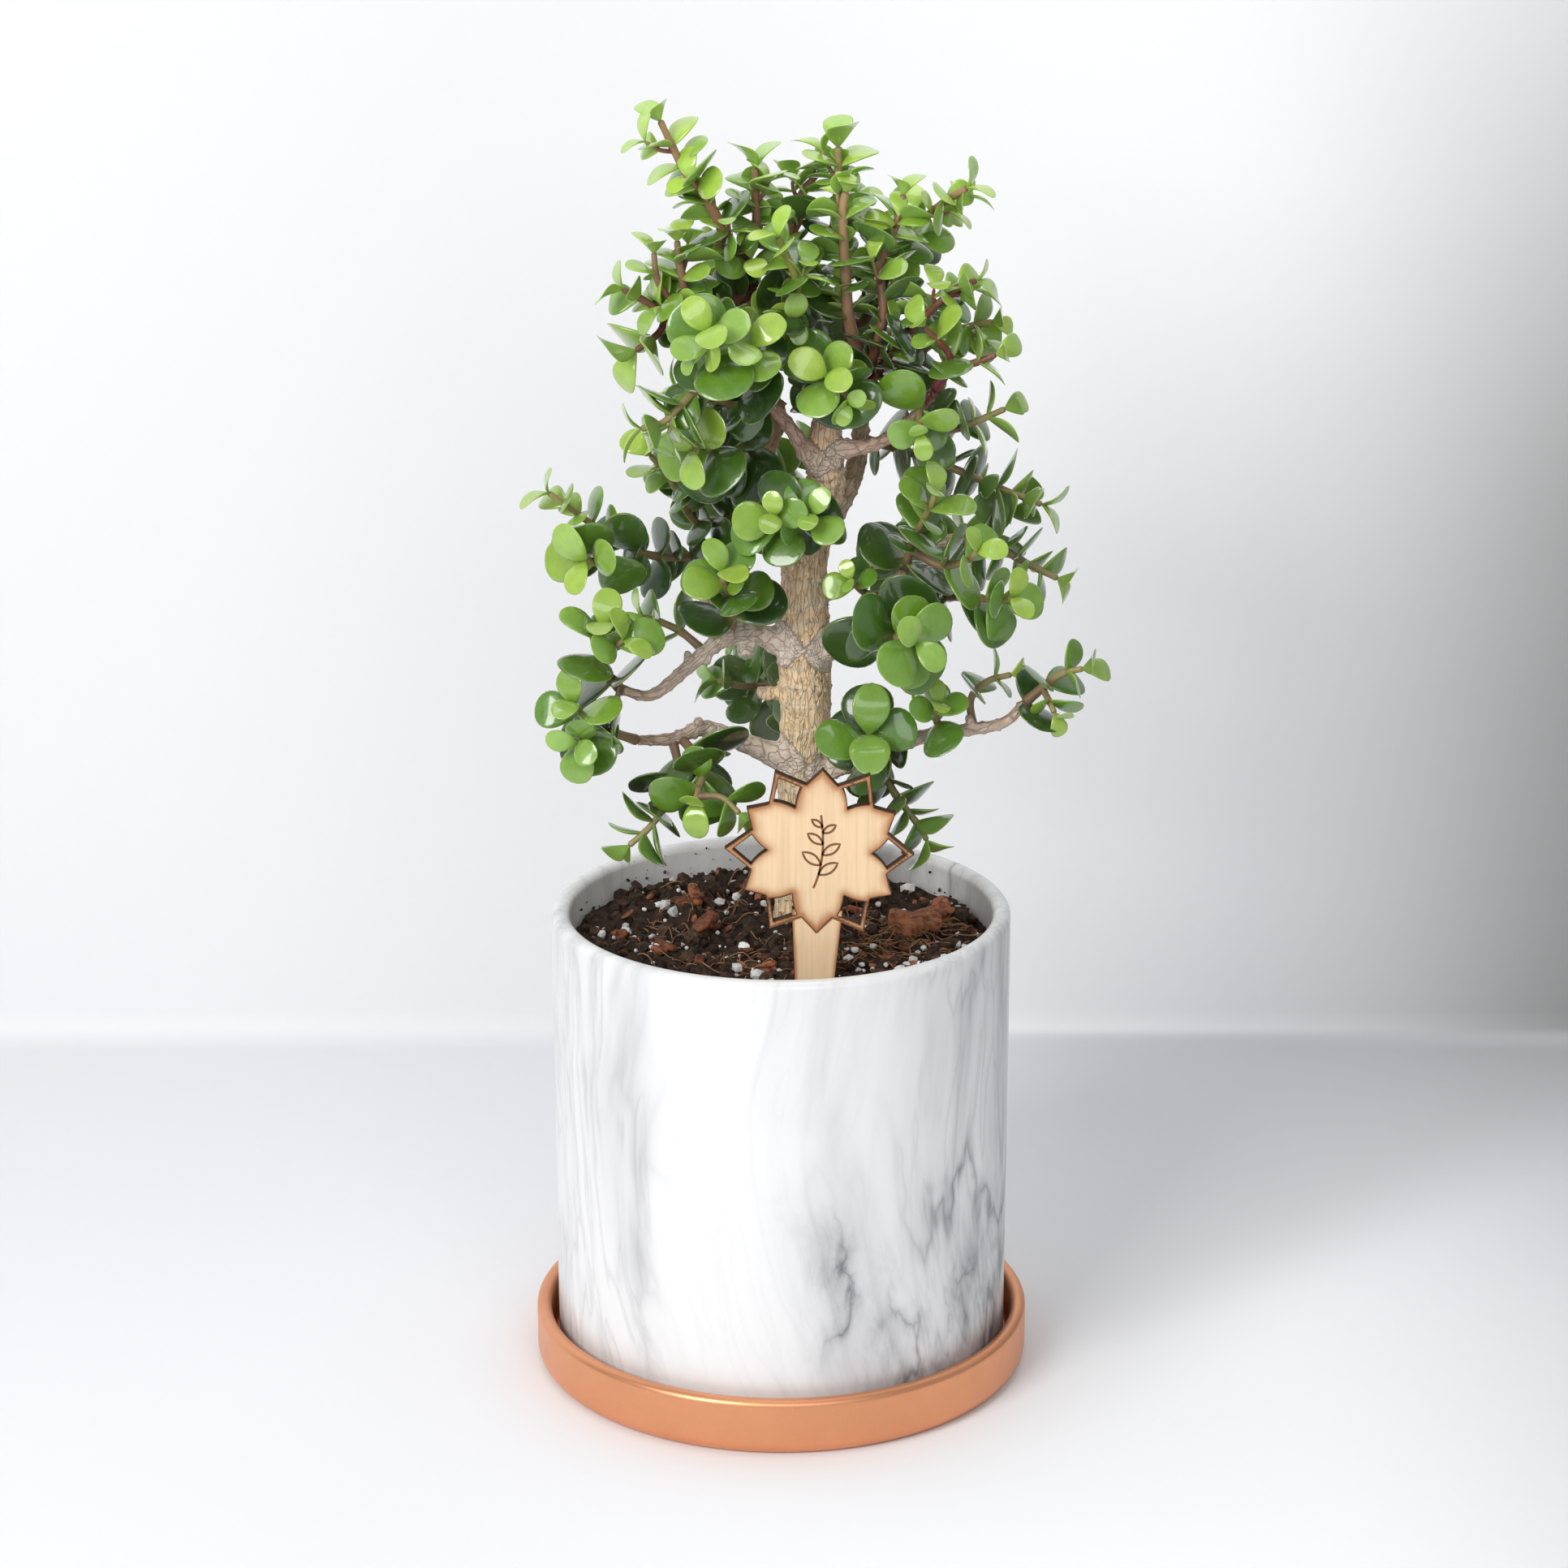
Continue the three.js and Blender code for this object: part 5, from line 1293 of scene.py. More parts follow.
# ---------------------------------------------------------------- soil
SOIL_RADIUS = SOIL_HIGH.x
SOIL_LEVEL = 145.5 * MM
SOIL_MOUND = 1.6 * MM
SOIL_RINGS = 62
SOIL_STEPS = 200
TRUNK_FOOT = (7 * MM, 17 * MM)
TRUNK_CLEAR = 11 * MM            # nothing loose lies closer to the middle of the trunk
STAKE_CLEAR = (10 * MM, 5 * MM)  # nor closer to the stake, sideways and front to back
# where long fibres lie side by side, right of the pick: x, y and heading, in millimetres and radians
FIBRE_BED = ((20, 52), (-22, 16), (-0.5, 0.4))
WALL_CRUMBS = 90


def soil_height(x, y):
    """Height of the uneven soil at a place, in metres."""
    reach = math.hypot(x, y) / SOIL_RADIUS
    here = Vector((x, y, 0.3))
    height = SOIL_LEVEL + SOIL_MOUND * (1 - reach)
    height += 3.2 * MM * noise.noise(here * 55) + 3.6 * MM * noise.noise(here * 150)
    height += 2.6 * MM * abs(noise.noise(here * 330)) + 1.6 * MM * noise.noise(here * 640)
    return height


def on_soil(chance, margin=4 * MM):
    """A place on the soil clear of the trunk and the pick's stake."""
    while True:
        reach = (SOIL_RADIUS - margin) * math.sqrt(chance.random())
        turn = chance.uniform(0, math.tau)
        x, y = reach * math.cos(turn), reach * math.sin(turn)
        by_trunk = math.hypot(x - TRUNK_FOOT[0], y - TRUNK_FOOT[1]) < TRUNK_CLEAR
        by_stake = abs(x - PICK_MIDDLE[0] * MM) < STAKE_CLEAR[0] and abs(y - PICK_LOW.y) < STAKE_CLEAR[1]
        if not by_trunk and not by_stake:
            return x, y


def build_soil(settings):
    """A turned block whose fine top is moved to the soil's height, less and less towards the pot's wall."""
    deep = SOIL_LOW.z
    profile = [(0, deep), (SOIL_RADIUS, deep), (SOIL_RADIUS, SOIL_LEVEL - 4 * MM)]
    profile += [(SOIL_RADIUS * i / SOIL_RINGS, SOIL_LEVEL) for i in range(SOIL_RINGS, -1, -1)]
    bm = turned(profile, SOIL_STEPS)
    for vert in bm.verts:
        if vert.co.z > SOIL_LEVEL - 1 * MM:
            edge = clamp((1 - math.hypot(vert.co.x, vert.co.y) / SOIL_RADIUS) / 0.04)
            vert.co.z += (soil_height(vert.co.x, vert.co.y) - vert.co.z) * (0.35 + 0.65 * edge)
    bmesh.ops.recalc_face_normals(bm, faces=bm.faces)
    return finish_piece("soil", bm, [potting_mix(settings.earth)], ("soil",))


def tinted():
    """A new bmesh and its "tint" layer, which holds how dark each lump or flake is."""
    bm = bmesh.new()
    return bm, bm.verts.layers.float.new("tint")


BARK_CHUNKS = (   # x, y, length and width in millimetres
    (-38, -15, 9, 5), (-24, 4, 11, 7), (-6, -39, 8, 5), (-30, 26, 10, 4), (34, -24, 6, 4), (-52, 2, 6, 4),
    (28, 30, 12, 5), (52, 18, 12, 6))


def place_lump(bm, layer, chance, centre, sizes, roughness):
    """Adds a small knobbly lump."""
    made = bmesh.ops.create_icosphere(bm, subdivisions=1, radius=1)
    turn = Matrix.Rotation(chance.uniform(0, math.tau), 3, "Z")
    turn = turn @ Matrix.Rotation(chance.uniform(-0.6, 0.6), 3, "X")
    tint = chance.random()
    for vert in made["verts"]:
        bulge = 1 + chance.uniform(-roughness, roughness)
        local = Vector((vert.co.x * sizes[0], vert.co.y * sizes[1], vert.co.z * sizes[2])) * bulge
        vert.co = Vector(centre) + turn @ local
        vert[layer] = tint


def build_perlite(count, chance):
    bm, layer = tinted()
    for _ in range(count):
        x, y = on_soil(chance)
        size = chance.choice((0.5, 0.7, 0.8, 1.0, 1.3, 1.8, 2.3)) * MM * chance.uniform(0.8, 1.2)
        centre = (x, y, soil_height(x, y) + size * 0.35 + 0.6 * MM)
        place_lump(bm, layer, chance, centre, (size, size * 0.85, size * 0.8), 0.2)
    white = crumbly("perlite_white", (0.78, 0.77, 0.75), (0.95, 0.95, 0.94), 900, 0.85, 0.0003)
    return finish_piece("perlite_grains", bm, [white], smooth=False)


def build_crumbs(count, chance):
    """Crumbs on the soil, and smaller ones that stick to the pot's wall above it."""
    bm, layer = tinted()
    for _ in range(count):
        x, y = on_soil(chance, 2.5 * MM)
        size = (0.6 + 2.9 * chance.random() ** 4) * MM
        centre = (x, y, soil_height(x, y) + size * 0.25)
        place_lump(bm, layer, chance, centre, (size, size * 0.8, size * 0.7), 0.38)
    for _ in range(WALL_CRUMBS):
        turn = math.pi / 2 + chance.gauss(0.3, 0.55)
        reach = SOIL_RADIUS - 0.3 * MM
        up = SOIL_LEVEL + (1 + 13 * chance.random() ** 3) * MM
        size = (0.15 + 0.6 * chance.random() ** 3) * MM
        place_lump(bm, layer, chance, (reach * math.cos(turn), reach * math.sin(turn), up),
                   (size, size * 0.8, size * 0.9), 0.3)
    brown = crumbly("soil_crumbs", (0.022, 0.013, 0.009), (0.12, 0.065, 0.04), 420, 0.95, 0.0006)
    return finish_piece("soil_crumbs", bm, [brown], smooth=False)


def place_flake(bm, layer, chance, centre, sizes, lean):
    """Adds a thin curved flake with blunt uneven corners."""
    first = len(bm.verts)
    made = bmesh.ops.create_cube(bm, size=1)
    edges = {edge for vert in made["verts"] for edge in vert.link_edges}
    bmesh.ops.subdivide_edges(bm, edges=list(edges), cuts=1, use_grid_fill=True)
    bm.verts.ensure_lookup_table()
    turn = Matrix.Rotation(chance.uniform(0, math.tau), 3, "Z")
    turn = turn @ Matrix.Rotation(lean * chance.uniform(-1, 1), 3, "X")
    turn = turn @ Matrix.Rotation(lean * chance.uniform(-1, 1), 3, "Y")
    tint = chance.random() ** 1.5
    for vert in bm.verts[first:]:
        x, y, z = vert.co
        reach = math.hypot(x, y)
        pinch = 1 / max(1, reach * 2 ** 0.5 + chance.uniform(-0.25, 0.25))
        local = Vector((x * sizes[0] * pinch, y * sizes[1] * pinch,
                        (z + 0.25 * math.sin(x * 4)) * sizes[2]))
        local *= 1 + chance.uniform(-0.08, 0.08)
        vert.co = Vector(centre) + turn @ local
        vert[layer] = tint


def build_flakes(count, chance):
    bm, layer = tinted()
    for _ in range(count):
        x, y = on_soil(chance, 5 * MM)
        length = chance.uniform(2.5, 7.5) * MM * chance.uniform(0.6, 1)
        sizes = (length, length * chance.uniform(0.35, 0.8), chance.uniform(0.7, 1.6) * MM)
        place_flake(bm, layer, chance, (x, y, soil_height(x, y) + 0.8 * MM), sizes, 0.45)
    for x, y, length, width in BARK_CHUNKS:
        for _ in range(3):
            near = (x + chance.uniform(-1.5, 1.5), y + chance.uniform(-1.5, 1.5))
            centre = (near[0] * MM, near[1] * MM, soil_height(near[0] * MM, near[1] * MM) + 1.6 * MM)
            place_flake(bm, layer, chance, centre, (length * MM, width * MM, 2.4 * MM), 0.5)
    orange = crumbly("bark_flakes", (0.1, 0.033, 0.016), (0.5, 0.18, 0.085), 420, 0.85, 0.0005)
    return finish_piece("bark_flakes", bm, [orange], levels=1)


def build_bark_chip(chance):
    bm, layer = tinted()
    centre = (CHIP_LOW + CHIP_HIGH) / 2
    for shift, sizes in (((0, 0, 0), (17, 10, 4)), ((-3, 2, 1.2), (12, 7, 3)), ((4, -2, 0.8), (9, 6, 3))):
        place_flake(bm, layer, chance, centre + Vector(shift) * MM - Vector((0, 0, 1.2 * MM)),
                    [size * MM for size in sizes], 0.12)
    for vert in bm.verts:
        vert[layer] = 0.1
    bmesh.ops.subdivide_edges(bm, edges=bm.edges, cuts=1, use_grid_fill=True, smooth=0.3)
    for vert in bm.verts:
        vert.co += vert.normal * noise.noise(vert.co * 700) * 0.9 * MM
    chip = crumbly("chip_bark", (0.16, 0.055, 0.025), (0.46, 0.18, 0.085), 380, 0.85, 0.0006)
    return finish_piece("bark_chip", bm, [chip], ("bark_chip",), levels=1)


def build_fibres(count, chance):
    bm, layer = tinted()
    for i in range(count):
        x, y = on_soil(chance, 16 * MM)
        heading = chance.uniform(0, math.tau)
        length = chance.uniform(6, 18)
        if i % 3 == 0:
            across, back, headings = FIBRE_BED
            x, y = (chance.uniform(*across) * MM, chance.uniform(*back) * MM)
            heading = chance.uniform(*headings)
            length = chance.uniform(10, 24)
        bend = chance.uniform(-0.06, 0.06)
        points = []
        for _ in range(6):
            on_chip = CHIP_LOW.x < x < CHIP_HIGH.x and CHIP_LOW.y < y < CHIP_HIGH.y
            rise = 2.6 if on_chip else 0.5
            points.append((x / MM, y / MM, soil_height(x, y) / MM + chance.uniform(rise, rise + 1.6)))
            x += math.cos(heading) * length / 5 * MM
            y += math.sin(heading) * length / 5 * MM
            heading += bend * length / 5
            if math.hypot(x, y) > SOIL_RADIUS - 2 * MM:
                break
        if len(points) < 3:
            continue
        thickness = chance.uniform(0.13, 0.3)
        first = len(bm.verts)
        tube(bm, Route(points, [thickness] * len(points)), 4, 1.6)
        bm.verts.ensure_lookup_table()
        tint = chance.random() * 0.6
        for vert in bm.verts[first:]:
            vert[layer] = tint
    straw = crumbly("coir_fibres", (0.16, 0.075, 0.035), (0.48, 0.26, 0.13), 300, 0.8, 0.0002)
    return finish_piece("coir_fibres", bm, [straw])


# ---------------------------------------------------------------- wooden pick
PETALS = 6
# points of the flower as a distance from its middle in millimetres and an angle off the petal's axis
PETAL_NOTCH = (22.2, 0.222)      # where a petal meets an open frame
WINDOW_TIP = 2.5                 # how far a window's outer corner lies inside its frame's tip
WINDOW_MIDDLE = (21.8, 0.3)      # a window's side corners
WINDOW_INNER = 16.4              # distance of its inner corner
WINDOW_BULGE = (19.8, 0.41)      # control point of the petal's side along a window
PETAL_SIDE = 0.497               # a hair under a half: the outline's sides bend in a little
CURVE_STEPS = 7
GRID = 0.75                      # spacing of the cuts that carry the scorched shading
GRID_SHIFT = 0.013               # keeps the cuts off the outline's own corners
PLATE_BOTTOM, PLATE_EDGE = -76, 30
STAKE = ((-8, -19), (-5, -62), (0, -74), (5, -62), (8, -19))
STAKE_INSET = 0.1                # how far the stake's faces lie inside the flower's
VEIN_WIDTH = 0.7
RIM_WIDTH = 0.5
ENGRAVING_LIFT = 0.06            # how far the engraved lines lie in front of the plate
ENGRAVING_THICKNESS = 0.05
ENGRAVED = 0.86                  # how burnt the engraving is
FRAME_SCORCH = 0.62              # how burnt the open frames are at least
SPRIG_LEAVES = ((0.2, 1, 6.5), (0.34, -1, 6.5), (0.5, 1, 6), (0.64, -1, 5.4), (0.8, 1, 4.4), (0.88, -1, 3.8))


def polar(radius, angle):
    return Vector((radius * math.cos(angle), radius * math.sin(angle)))


def bow(start, control, end, steps):
    """Points along a quadratic curve, without its last one."""
    points = []
    for i in range(steps):
        t = i / steps
        points.append(start * (1 - t) ** 2 + control * 2 * t * (1 - t) + end * t ** 2)
    return points


def flower_loops(petal_tip, frame_tip):
    """The flower's outline and its six diamond windows, in millimetres round its middle."""
    outline, windows = [], []
    step = math.tau / PETALS
    for i in range(PETALS):
        petal = math.pi / 2 + i * step
        frame_angle = petal + step / 2
        following = petal + step
        corners = (polar(petal_tip, petal), polar(PETAL_NOTCH[0], petal + PETAL_NOTCH[1]),
                   polar(frame_tip, frame_angle), polar(PETAL_NOTCH[0], following - PETAL_NOTCH[1]),
                   polar(petal_tip, following))
        for a, b in zip(corners, corners[1:]):
            outline += bow(a, (a + b) * PETAL_SIDE, b, 5)
        outer, inner = polar(frame_tip - WINDOW_TIP, frame_angle), polar(WINDOW_INNER, frame_angle)
        first, last = (polar(WINDOW_MIDDLE[0], angle)
                       for angle in (petal + WINDOW_MIDDLE[1], following - WINDOW_MIDDLE[1]))
        bulges = (polar(WINDOW_BULGE[0], petal + WINDOW_BULGE[1]),
                  polar(WINDOW_BULGE[0], following - WINDOW_BULGE[1]))
        windows.append([
            *bow(outer, (outer + first) / 2, first, 4), *bow(first, bulges[0], inner, CURVE_STEPS),
            *bow(inner, bulges[1], last, CURVE_STEPS), *bow(last, (last + outer) / 2, outer, 4)])
    return outline, windows


def plate(loops, thickness, back=0.0):
    """A flat plate with holes, its front at -thickness-back, cut into a fine grid."""
    bm = bmesh.new()
    for loop in loops:
        verts = [bm.verts.new((point.x, -back, point.y)) for point in loop]
        for a, b in zip(verts, verts[1:] + verts[:1]):
            bm.edges.new((a, b))
    bmesh.ops.triangle_fill(bm, use_beauty=True, edges=bm.edges, normal=(0, 1, 0))
    raised = bmesh.ops.extrude_face_region(bm, geom=bm.faces[:])
    front = [item for item in raised["geom"] if isinstance(item, bmesh.types.BMVert)]
    bmesh.ops.translate(bm, verts=front, vec=(0, -thickness, 0))
    for normal, low in (((1, 0, 0), -PLATE_EDGE), ((0, 0, 1), PLATE_BOTTOM)):
        place = low
        while place < PLATE_EDGE:
            bmesh.ops.bisect_plane(
                bm, geom=[*bm.verts, *bm.edges, *bm.faces], plane_no=normal,
                plane_co=Vector(normal) * (place + GRID_SHIFT))
            place += GRID
    return bm


def segment_distance(point, a, b):
    along = b - a
    share = clamp((point - a).dot(along) / max(along.length_squared, 1e-9))
    return (point - a - along * share).length


def scorch_layer(bm):
    return bm.verts.layers.float.get("scorch") or bm.verts.layers.float.new("scorch")


def scorch_plate(bm, loops, reach):
    """Marks how burnt each point is by its distance from the cut edges."""
    layer = scorch_layer(bm)
    cuts = [(a, b) for loop in loops for a, b in zip(loop, loop[1:] + loop[:1])]
    for vert in bm.verts:
        point = Vector((vert.co.x, vert.co.z))
        gap = min(segment_distance(point, a, b) for a, b in cuts)
        drift = 0.75 + 0.6 * noise.noise(Vector((point.x * 0.13, point.y * 0.09, 2)))
        vert[layer] = math.exp(-gap / (reach * drift))


def finish_pick_piece(name, bm, settings, wood, nodes=()):
    """Puts a piece of the pick, drawn round the flower's middle, in its place and finishes it."""
    place = Vector((PICK_MIDDLE[0] * MM, PICK_LOW.y + PICK_THICKNESS, PICK_MIDDLE[1] * MM))
    stand = Matrix.Translation(place) @ Matrix.Rotation(settings.lean, 4, "Y") @ Matrix.Scale(MM, 4)
    bmesh.ops.transform(bm, matrix=stand, verts=bm.verts)
    return finish_piece(name, bm, [wood], nodes, smooth=False)


def edge_between(bm, ends):
    return bm.edges.get(ends) or bm.edges.new(ends)


def engraved_line(bm, points, width, front):
    """A thin burnt line on the plate's face."""
    layer = scorch_layer(bm)
    pairs = []
    for i, point in enumerate(points):
        heading = points[min(i + 1, len(points) - 1)] - points[max(i - 1, 0)]
        side = Vector((-heading.y, heading.x)).normalized() * width / 2
        pairs.append([bm.verts.new((p.x, front, p.y)) for p in (point + side, point - side)])
    for pair, following in zip(pairs, pairs[1:]):
        bmesh.ops.contextual_create(bm, geom=[edge_between(bm, pair), edge_between(bm, following)])
    for pair in pairs:
        for vert in pair:
            vert[layer] = ENGRAVED


def sprig_lines():
    """A small engraved sprig: a stalk and pairs of leaves drawn as outlines."""
    steps = 14
    top = Vector((0, 12))
    stalk = bow(Vector((-1.5, -12)), Vector((2.5, -2)), top, steps) + [top]
    lines = [stalk]
    for share, way, size in SPRIG_LEAVES:
        foot = stalk[round(share * steps)]
        end = foot + Vector((way * size * 0.9, size * 0.62))
        across = Vector((-(end - foot).y, (end - foot).x)) * 0.42
        middle = (foot + end) / 2
        upper = bow(foot, middle + across, end, 8) + [end]
        lower = bow(end, middle - across, foot, 8) + [foot]
        lines.append(upper + lower[1:])
    return lines


def build_flower(settings, wood, thickness):
    outline, windows = flower_loops(settings.petal_tip / MM, settings.frame_tip / MM)
    loops = [outline, *windows]
    bm = plate(loops, thickness)
    scorch_plate(bm, loops, 2.3)
    layer = scorch_layer(bm)
    half = math.pi / PETALS
    for vert in bm.verts:
        point = Vector((vert.co.x, vert.co.z))
        off_petal = (math.atan2(point.y, point.x) - math.pi / 2 + half) % (2 * half) - half
        if point.length > PETAL_NOTCH[0] and abs(off_petal) > 0.2:
            vert[layer] = max(vert[layer], FRAME_SCORCH)
    bmesh.ops.recalc_face_normals(bm, faces=bm.faces)
    finish_pick_piece("pick_flower", bm, settings, wood, ("plant_pick",))


def build_stake(settings, wood, thickness):
    loop = [Vector(point) for point in STAKE]
    bm = plate([loop], thickness - 2 * STAKE_INSET, STAKE_INSET)
    scorch_plate(bm, [loop], 0.9)
    bmesh.ops.recalc_face_normals(bm, faces=bm.faces)
    finish_pick_piece("pick_stake", bm, settings, wood)


def build_engraving(settings, wood, thickness):
    """The sprig, and the burnt rim of the lowest petal in front of the stake."""
    bm = bmesh.new()
    front = -thickness - ENGRAVING_LIFT
    for line in sprig_lines():
        engraved_line(bm, line, VEIN_WIDTH, front)
    bottom = -math.pi / 2
    tip = polar(settings.petal_tip / MM, bottom)
    for way in (1, -1):
        notch = polar(PETAL_NOTCH[0], bottom + way * PETAL_NOTCH[1])
        corner = polar(settings.frame_tip / MM, bottom + way * math.pi / PETALS)
        rim = [*bow(tip, (tip + notch) * PETAL_SIDE, notch, 8), notch, corner]
        engraved_line(bm, rim, RIM_WIDTH, front)
    bmesh.ops.remove_doubles(bm, verts=bm.verts, dist=0.001)
    bmesh.ops.recalc_face_normals(bm, faces=bm.faces)
    bmesh.ops.solidify(bm, geom=bm.faces[:], thickness=ENGRAVING_THICKNESS)
    finish_pick_piece("pick_sprig_engraving", bm, settings, wood)


# ---------------------------------------------------------------- stage
def one_sided(material):
    """Lets the backdrop be looked through from behind, so that it hides nothing from the back."""
    tree = material.node_tree
    surface = tree.nodes["Principled BSDF"]
    output = tree.nodes["Material Output"]
    geometry = tree.nodes.new("ShaderNodeNewGeometry")
    clear = tree.nodes.new("ShaderNodeBsdfTransparent")
    mix = tree.nodes.new("ShaderNodeMixShader")
    tree.links.new(geometry.outputs["Backfacing"], mix.inputs[0])
    tree.links.new(surface.outputs[0], mix.inputs[1])
    tree.links.new(clear.outputs[0], mix.inputs[2])
    tree.links.new(mix.outputs[0], output.inputs["Surface"])
    return material


def backdrop_white():
    """Pale paper with painted light and shade: painted lighter on the right, a painted soft shadow on the
    right of the wall and of the floor, a painted darker, cooler shade on the floor towards the wall, and a
    painted diagonal shadow edge on the floor.
    """
    s = Shader("backdrop_white")
    place = s.place()
    x, y, z = s.split(place)
    on_floor = s.span(z, 0.006, 0.001)
    across = s.span(x, 0.16, 0.37)
    up = s.times(s.span(y, 0.0, 0.28, 0.45, 1), s.span(z, 0.6, 0.2))
    shade = s.times(s.times(across, up), s.span(s.noise(place, 3, 2), 0.2, 0.8, 0.85, 1.0))
    # painted light: the paper is painted darker on the left and lighter on the right
    lit = s.mix(s.span(x, -0.15, 0.15), (0.83, 0.833, 0.845), (0.95, 0.953, 0.96))
    tone = s.mix(shade, lit, (0.28, 0.28, 0.275))
    # painted shade: the floor is painted darker and cooler towards the wall, more strongly on the right
    far_floor_shade = s.times(on_floor, s.span(y, -0.2, 0.27))
    far_shade_strength = s.math("MULTIPLY_ADD", s.span(x, -0.1, 0.15), 0.1, 0.5)
    tone = s.mix(s.times(far_floor_shade, far_shade_strength), tone, (0.72, 0.73, 0.765))
    # painted shadow: a soft diagonal shadow edge on the floor to the right of the pot
    slant = s.math("MULTIPLY_ADD", x, -1.09, y)
    painted_shadow_edge = s.times(s.span(slant, -0.19, -0.08), s.span(x, 0.02, 0.14))
    tone = s.mix(s.times(s.times(painted_shadow_edge, on_floor), 0.42), tone, (0.5, 0.5, 0.5))
    return one_sided(s.set(Base_Color=tone, Roughness=0.95, Specular_IOR_Level=0.1))


# name, place, size, power and colour
LIGHTS = (
    ("key", (-0.8, -1.15, 0.95), 0.7, 15.6, (1.0, 0.985, 0.96)),
    ("front_fill", (0.3, -1.4, 1.0), 0.8, 4.7, (0.98, 0.99, 1.0)),
    ("rear_lift", (0.05, 0.0, 1.3), 0.5, 2.2, (1, 1, 1)),
)
LIGHT_TARGET = Vector((0, 0, 0.24))
SKY_COLOUR = (0.93, 0.955, 1.0, 1)
SKY_STRENGTH = 0.405
BACKDROP_REACH = 3.0
BACKDROP_TOP = 2.2
COVE = 0.012                     # rounding between the floor and the wall
CAMERA_SHIFT = 0.00091           # how far right of the middle the camera stands


def build_backdrop(wall_y):
    """A floor that curves up into a wall."""
    bm = bmesh.new()
    foot = wall_y - COVE
    profile = [(-BACKDROP_REACH, 0), (foot, 0)]
    profile += [(foot + COVE * math.sin(a), COVE - COVE * math.cos(a))
                for a in (math.radians(15 * i) for i in range(1, 7))]
    profile.append((wall_y, BACKDROP_TOP))
    verts = [bm.verts.new((-BACKDROP_REACH, y, z)) for y, z in profile]
    edges = [bm.edges.new(pair) for pair in zip(verts, verts[1:])]
    made = bmesh.ops.extrude_edge_only(bm, edges=edges)
    moved = [item for item in made["geom"] if isinstance(item, bmesh.types.BMVert)]
    bmesh.ops.translate(bm, verts=moved, vec=(2 * BACKDROP_REACH, 0, 0))
    bm.normal_update()
    if any(face.normal.z < -0.5 or face.normal.y > 0.5 for face in bm.faces):
        bmesh.ops.reverse_faces(bm, faces=bm.faces)
    mesh = mesh_of("backdrop", bm)
    mesh.materials.append(backdrop_white())
    mesh.shade_smooth()
    backdrop = show("backdrop", mesh)


def build_stage(settings):
    build_backdrop(settings.wall_distance)
    for light in LIGHTS:
        add_light(*light)
    world = bpy.data.worlds.new("studio")
    world.use_nodes = True
    sky = world.node_tree.nodes["Background"]
    sky.inputs["Color"].default_value = SKY_COLOUR
    sky.inputs["Strength"].default_value = SKY_STRENGTH
    bpy.context.scene.world = world
    camera = show("camera", bpy.data.cameras.new("camera"))
    camera.location = (CAMERA_SHIFT, -settings.camera_distance, settings.camera_height)
    camera.rotation_euler = (math.pi / 2 - settings.camera_tilt, 0, 0)
    camera.data.lens = settings.lens
    camera.data.sensor_width = 36
    camera.data.clip_start = 0.05
    camera.data.clip_end = 30
    bpy.context.scene.camera = camera
    bpy.context.scene.view_settings.view_transform = "Standard"
    bpy.context.scene.view_settings.look = "None"


def add_light(name, place, size, power, colour):
    """A square soft light that looks at the middle of the plant."""
    lamp = bpy.data.lights.new(name, "AREA")
    lamp.shape = "SQUARE"
    lamp.size = size
    lamp.energy = power
    lamp.color = colour
    light = show(name, lamp)
    light.location = place
    light.rotation_euler = (Vector(place) - LIGHT_TARGET).to_track_quat("Z", "Y").to_euler()


# ---------------------------------------------------------------- operators
class JADE_OT_saucer(bpy.types.Operator):
    """Builds the copper saucer"""
    bl_idname = "jade.saucer"
    bl_label = "Saucer"

    def execute(self, context):
        build_saucer(context.scene.jade_saucer)
        return {"FINISHED"}


class JADE_OT_pot(bpy.types.Operator):
    """Builds the marbled pot"""
    bl_idname = "jade.pot"
    bl_label = "Pot"

    def execute(self, context):
        build_pot(context.scene.jade_pot)
        return {"FINISHED"}


class JADE_OT_soil(bpy.types.Operator):
    """Builds the soil and everything that lies on it"""
    bl_idname = "jade.soil"
    bl_label = "Soil"

    def execute(self, context):
        settings = context.scene.jade_soil
        build_soil(settings)
        build_perlite(settings.perlite, random.Random(11))
        build_crumbs(settings.crumbs, random.Random(12))
        build_flakes(settings.flakes, random.Random(13))
        build_bark_chip(random.Random(14))
        build_fibres(settings.fibres, random.Random(15))
        return {"FINISHED"}


class JADE_OT_pick(bpy.types.Operator):
    """Builds the flower-shaped wooden pick"""
    bl_idname = "jade.pick"
    bl_label = "Pick"

    def execute(self, context):
        settings = context.scene.jade_pick
        wood = scorched_birch(settings.birch, settings.scorch)
        for build in (build_flower, build_stake, build_engraving):
            build(settings, wood, PICK_THICKNESS / MM)
        return {"FINISHED"}


class JADE_OT_wood(bpy.types.Operator):
    """Builds the trunk and limbs as one weathered skin"""
    bl_idname = "jade.wood"
    bl_label = "Wood"

    def execute(self, context):
        build_wood(context.scene.jade_wood)
        return {"FINISHED"}


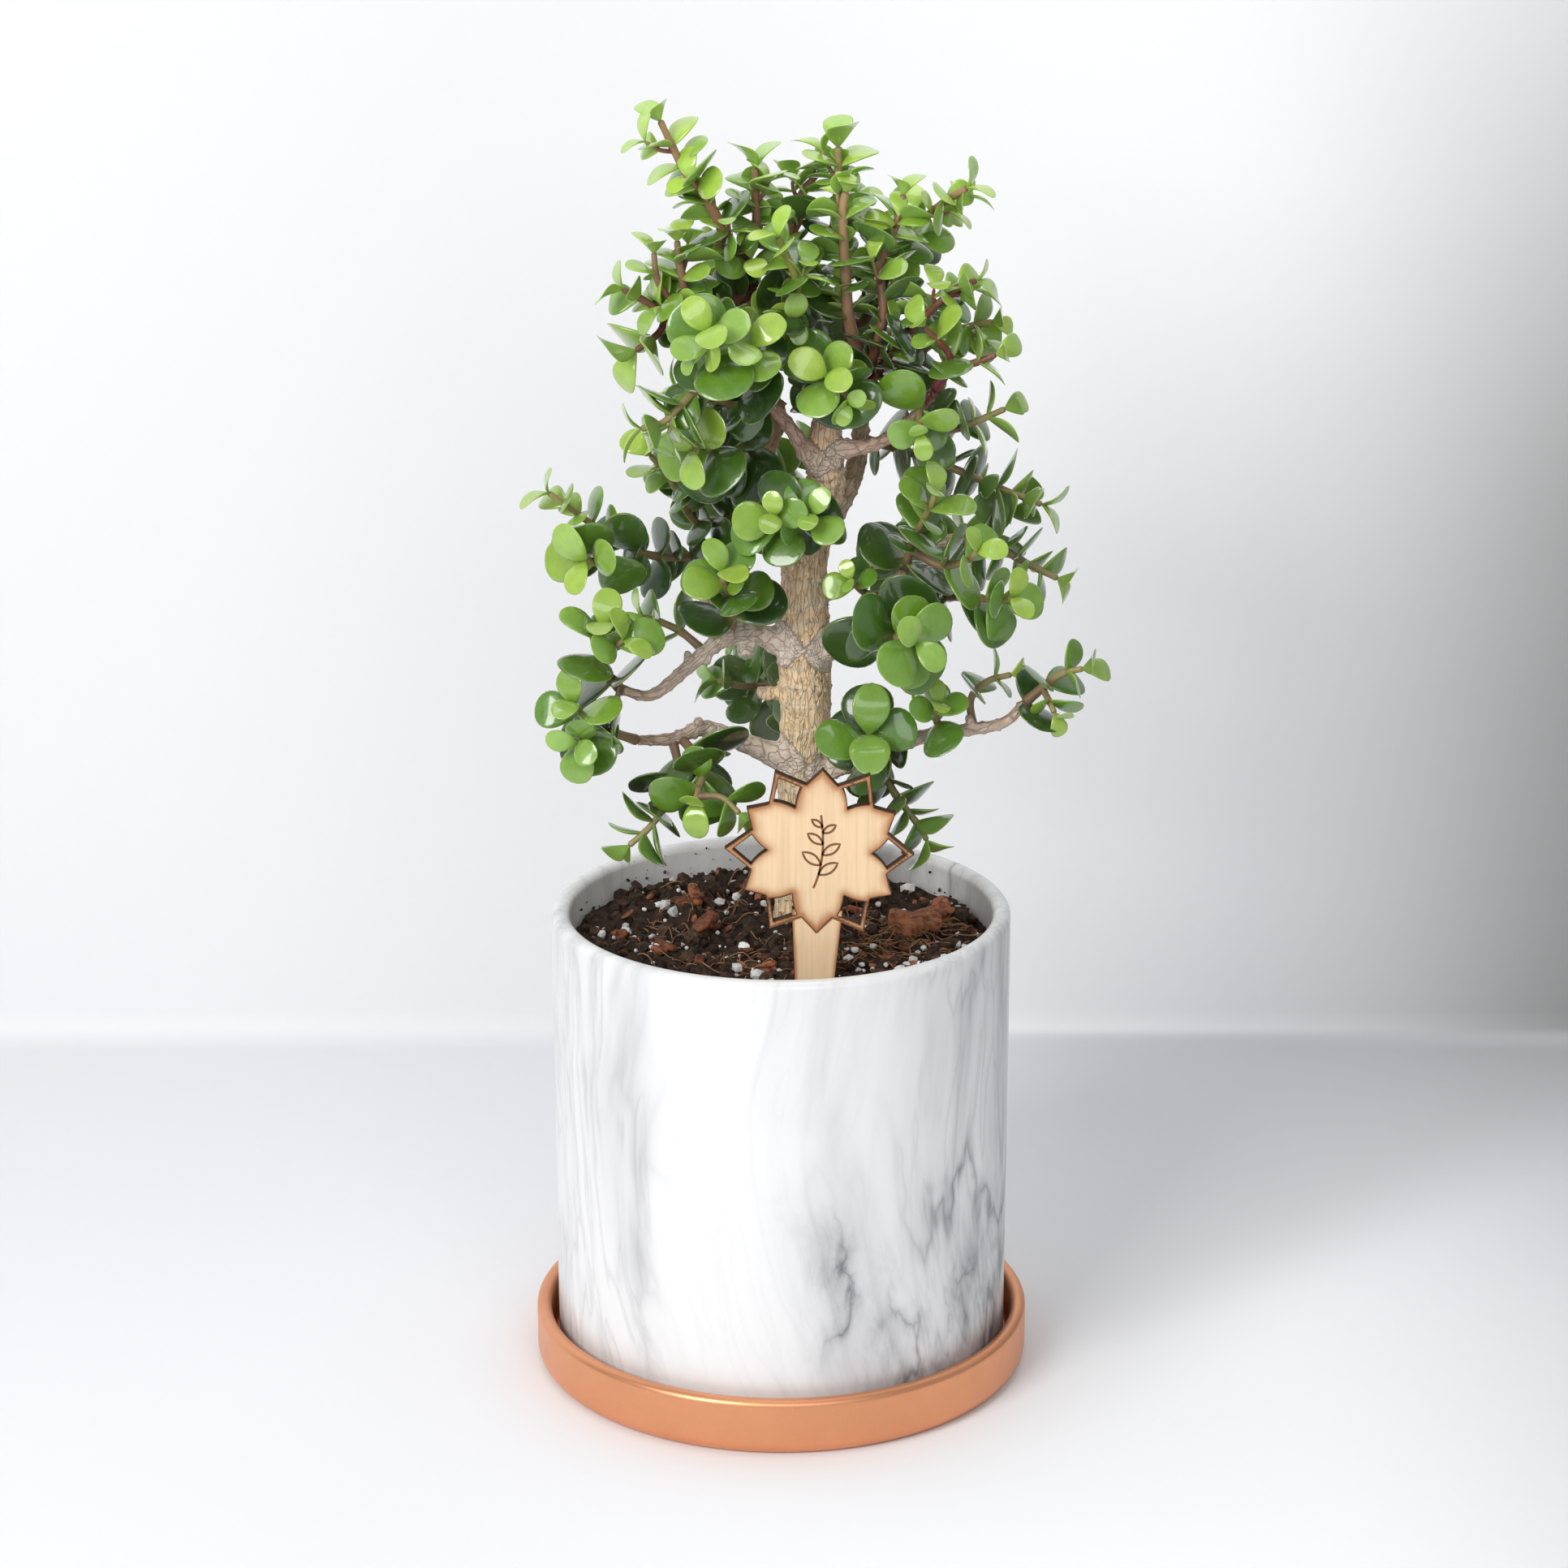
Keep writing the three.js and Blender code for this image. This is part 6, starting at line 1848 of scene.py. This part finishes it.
class JADE_OT_shoots(bpy.types.Operator):
    """Builds every shoot with its leaves"""
    bl_idname = "jade.shoots"
    bl_label = "Shoots"

    def execute(self, context):
        skins = [waxy_leaf(), green_stem()]
        chance = random.Random(16)
        for name in SHOOTS:
            build_shoot(name, context.scene.jade_leaves, skins, chance)
        return {"FINISHED"}


class JADE_OT_stage(bpy.types.Operator):
    """Sets the backdrop, lights and camera"""
    bl_idname = "jade.stage"
    bl_label = "Stage"

    def execute(self, context):
        build_stage(context.scene.jade_stage)
        return {"FINISHED"}


class JADE_PT_panel(bpy.types.Panel):
    """Lists the operators and settings of the plant"""
    bl_label = "Potted Dwarf Jade"
    bl_idname = "JADE_PT_panel"
    bl_space_type = "VIEW_3D"
    bl_region_type = "UI"
    bl_category = "Jade"

    def draw(self, context):
        for operator in OPERATORS:
            self.layout.operator(operator.bl_idname)
        for key, group in SETTINGS.items():
            box = self.layout.box()
            for name in group.__annotations__:
                box.prop(getattr(context.scene, key), name)


SETTINGS = {
    "jade_saucer": SaucerSettings, "jade_pot": PotSettings, "jade_soil": SoilSettings,
    "jade_pick": PickSettings, "jade_wood": WoodSettings, "jade_leaves": LeafSettings,
    "jade_stage": StageSettings,
}
OPERATORS = (
    JADE_OT_saucer, JADE_OT_pot, JADE_OT_soil, JADE_OT_pick, JADE_OT_wood, JADE_OT_shoots, JADE_OT_stage)


def register():
    for key, group in SETTINGS.items():
        bpy.utils.register_class(group)
        setattr(bpy.types.Scene, key, bpy.props.PointerProperty(type=group))
    for made in (*OPERATORS, JADE_PT_panel):
        bpy.utils.register_class(made)


def unregister():
    for made in (JADE_PT_panel, *reversed(OPERATORS)):
        bpy.utils.unregister_class(made)
    for key, group in SETTINGS.items():
        delattr(bpy.types.Scene, key)
        bpy.utils.unregister_class(group)


def main():
    register()
    bpy.ops.jade.saucer()
    bpy.ops.jade.pot()
    bpy.ops.jade.soil()
    bpy.ops.jade.pick()
    bpy.ops.jade.wood()
    bpy.ops.jade.shoots()
    bpy.ops.jade.stage()


if __name__ == "__main__":
    main()
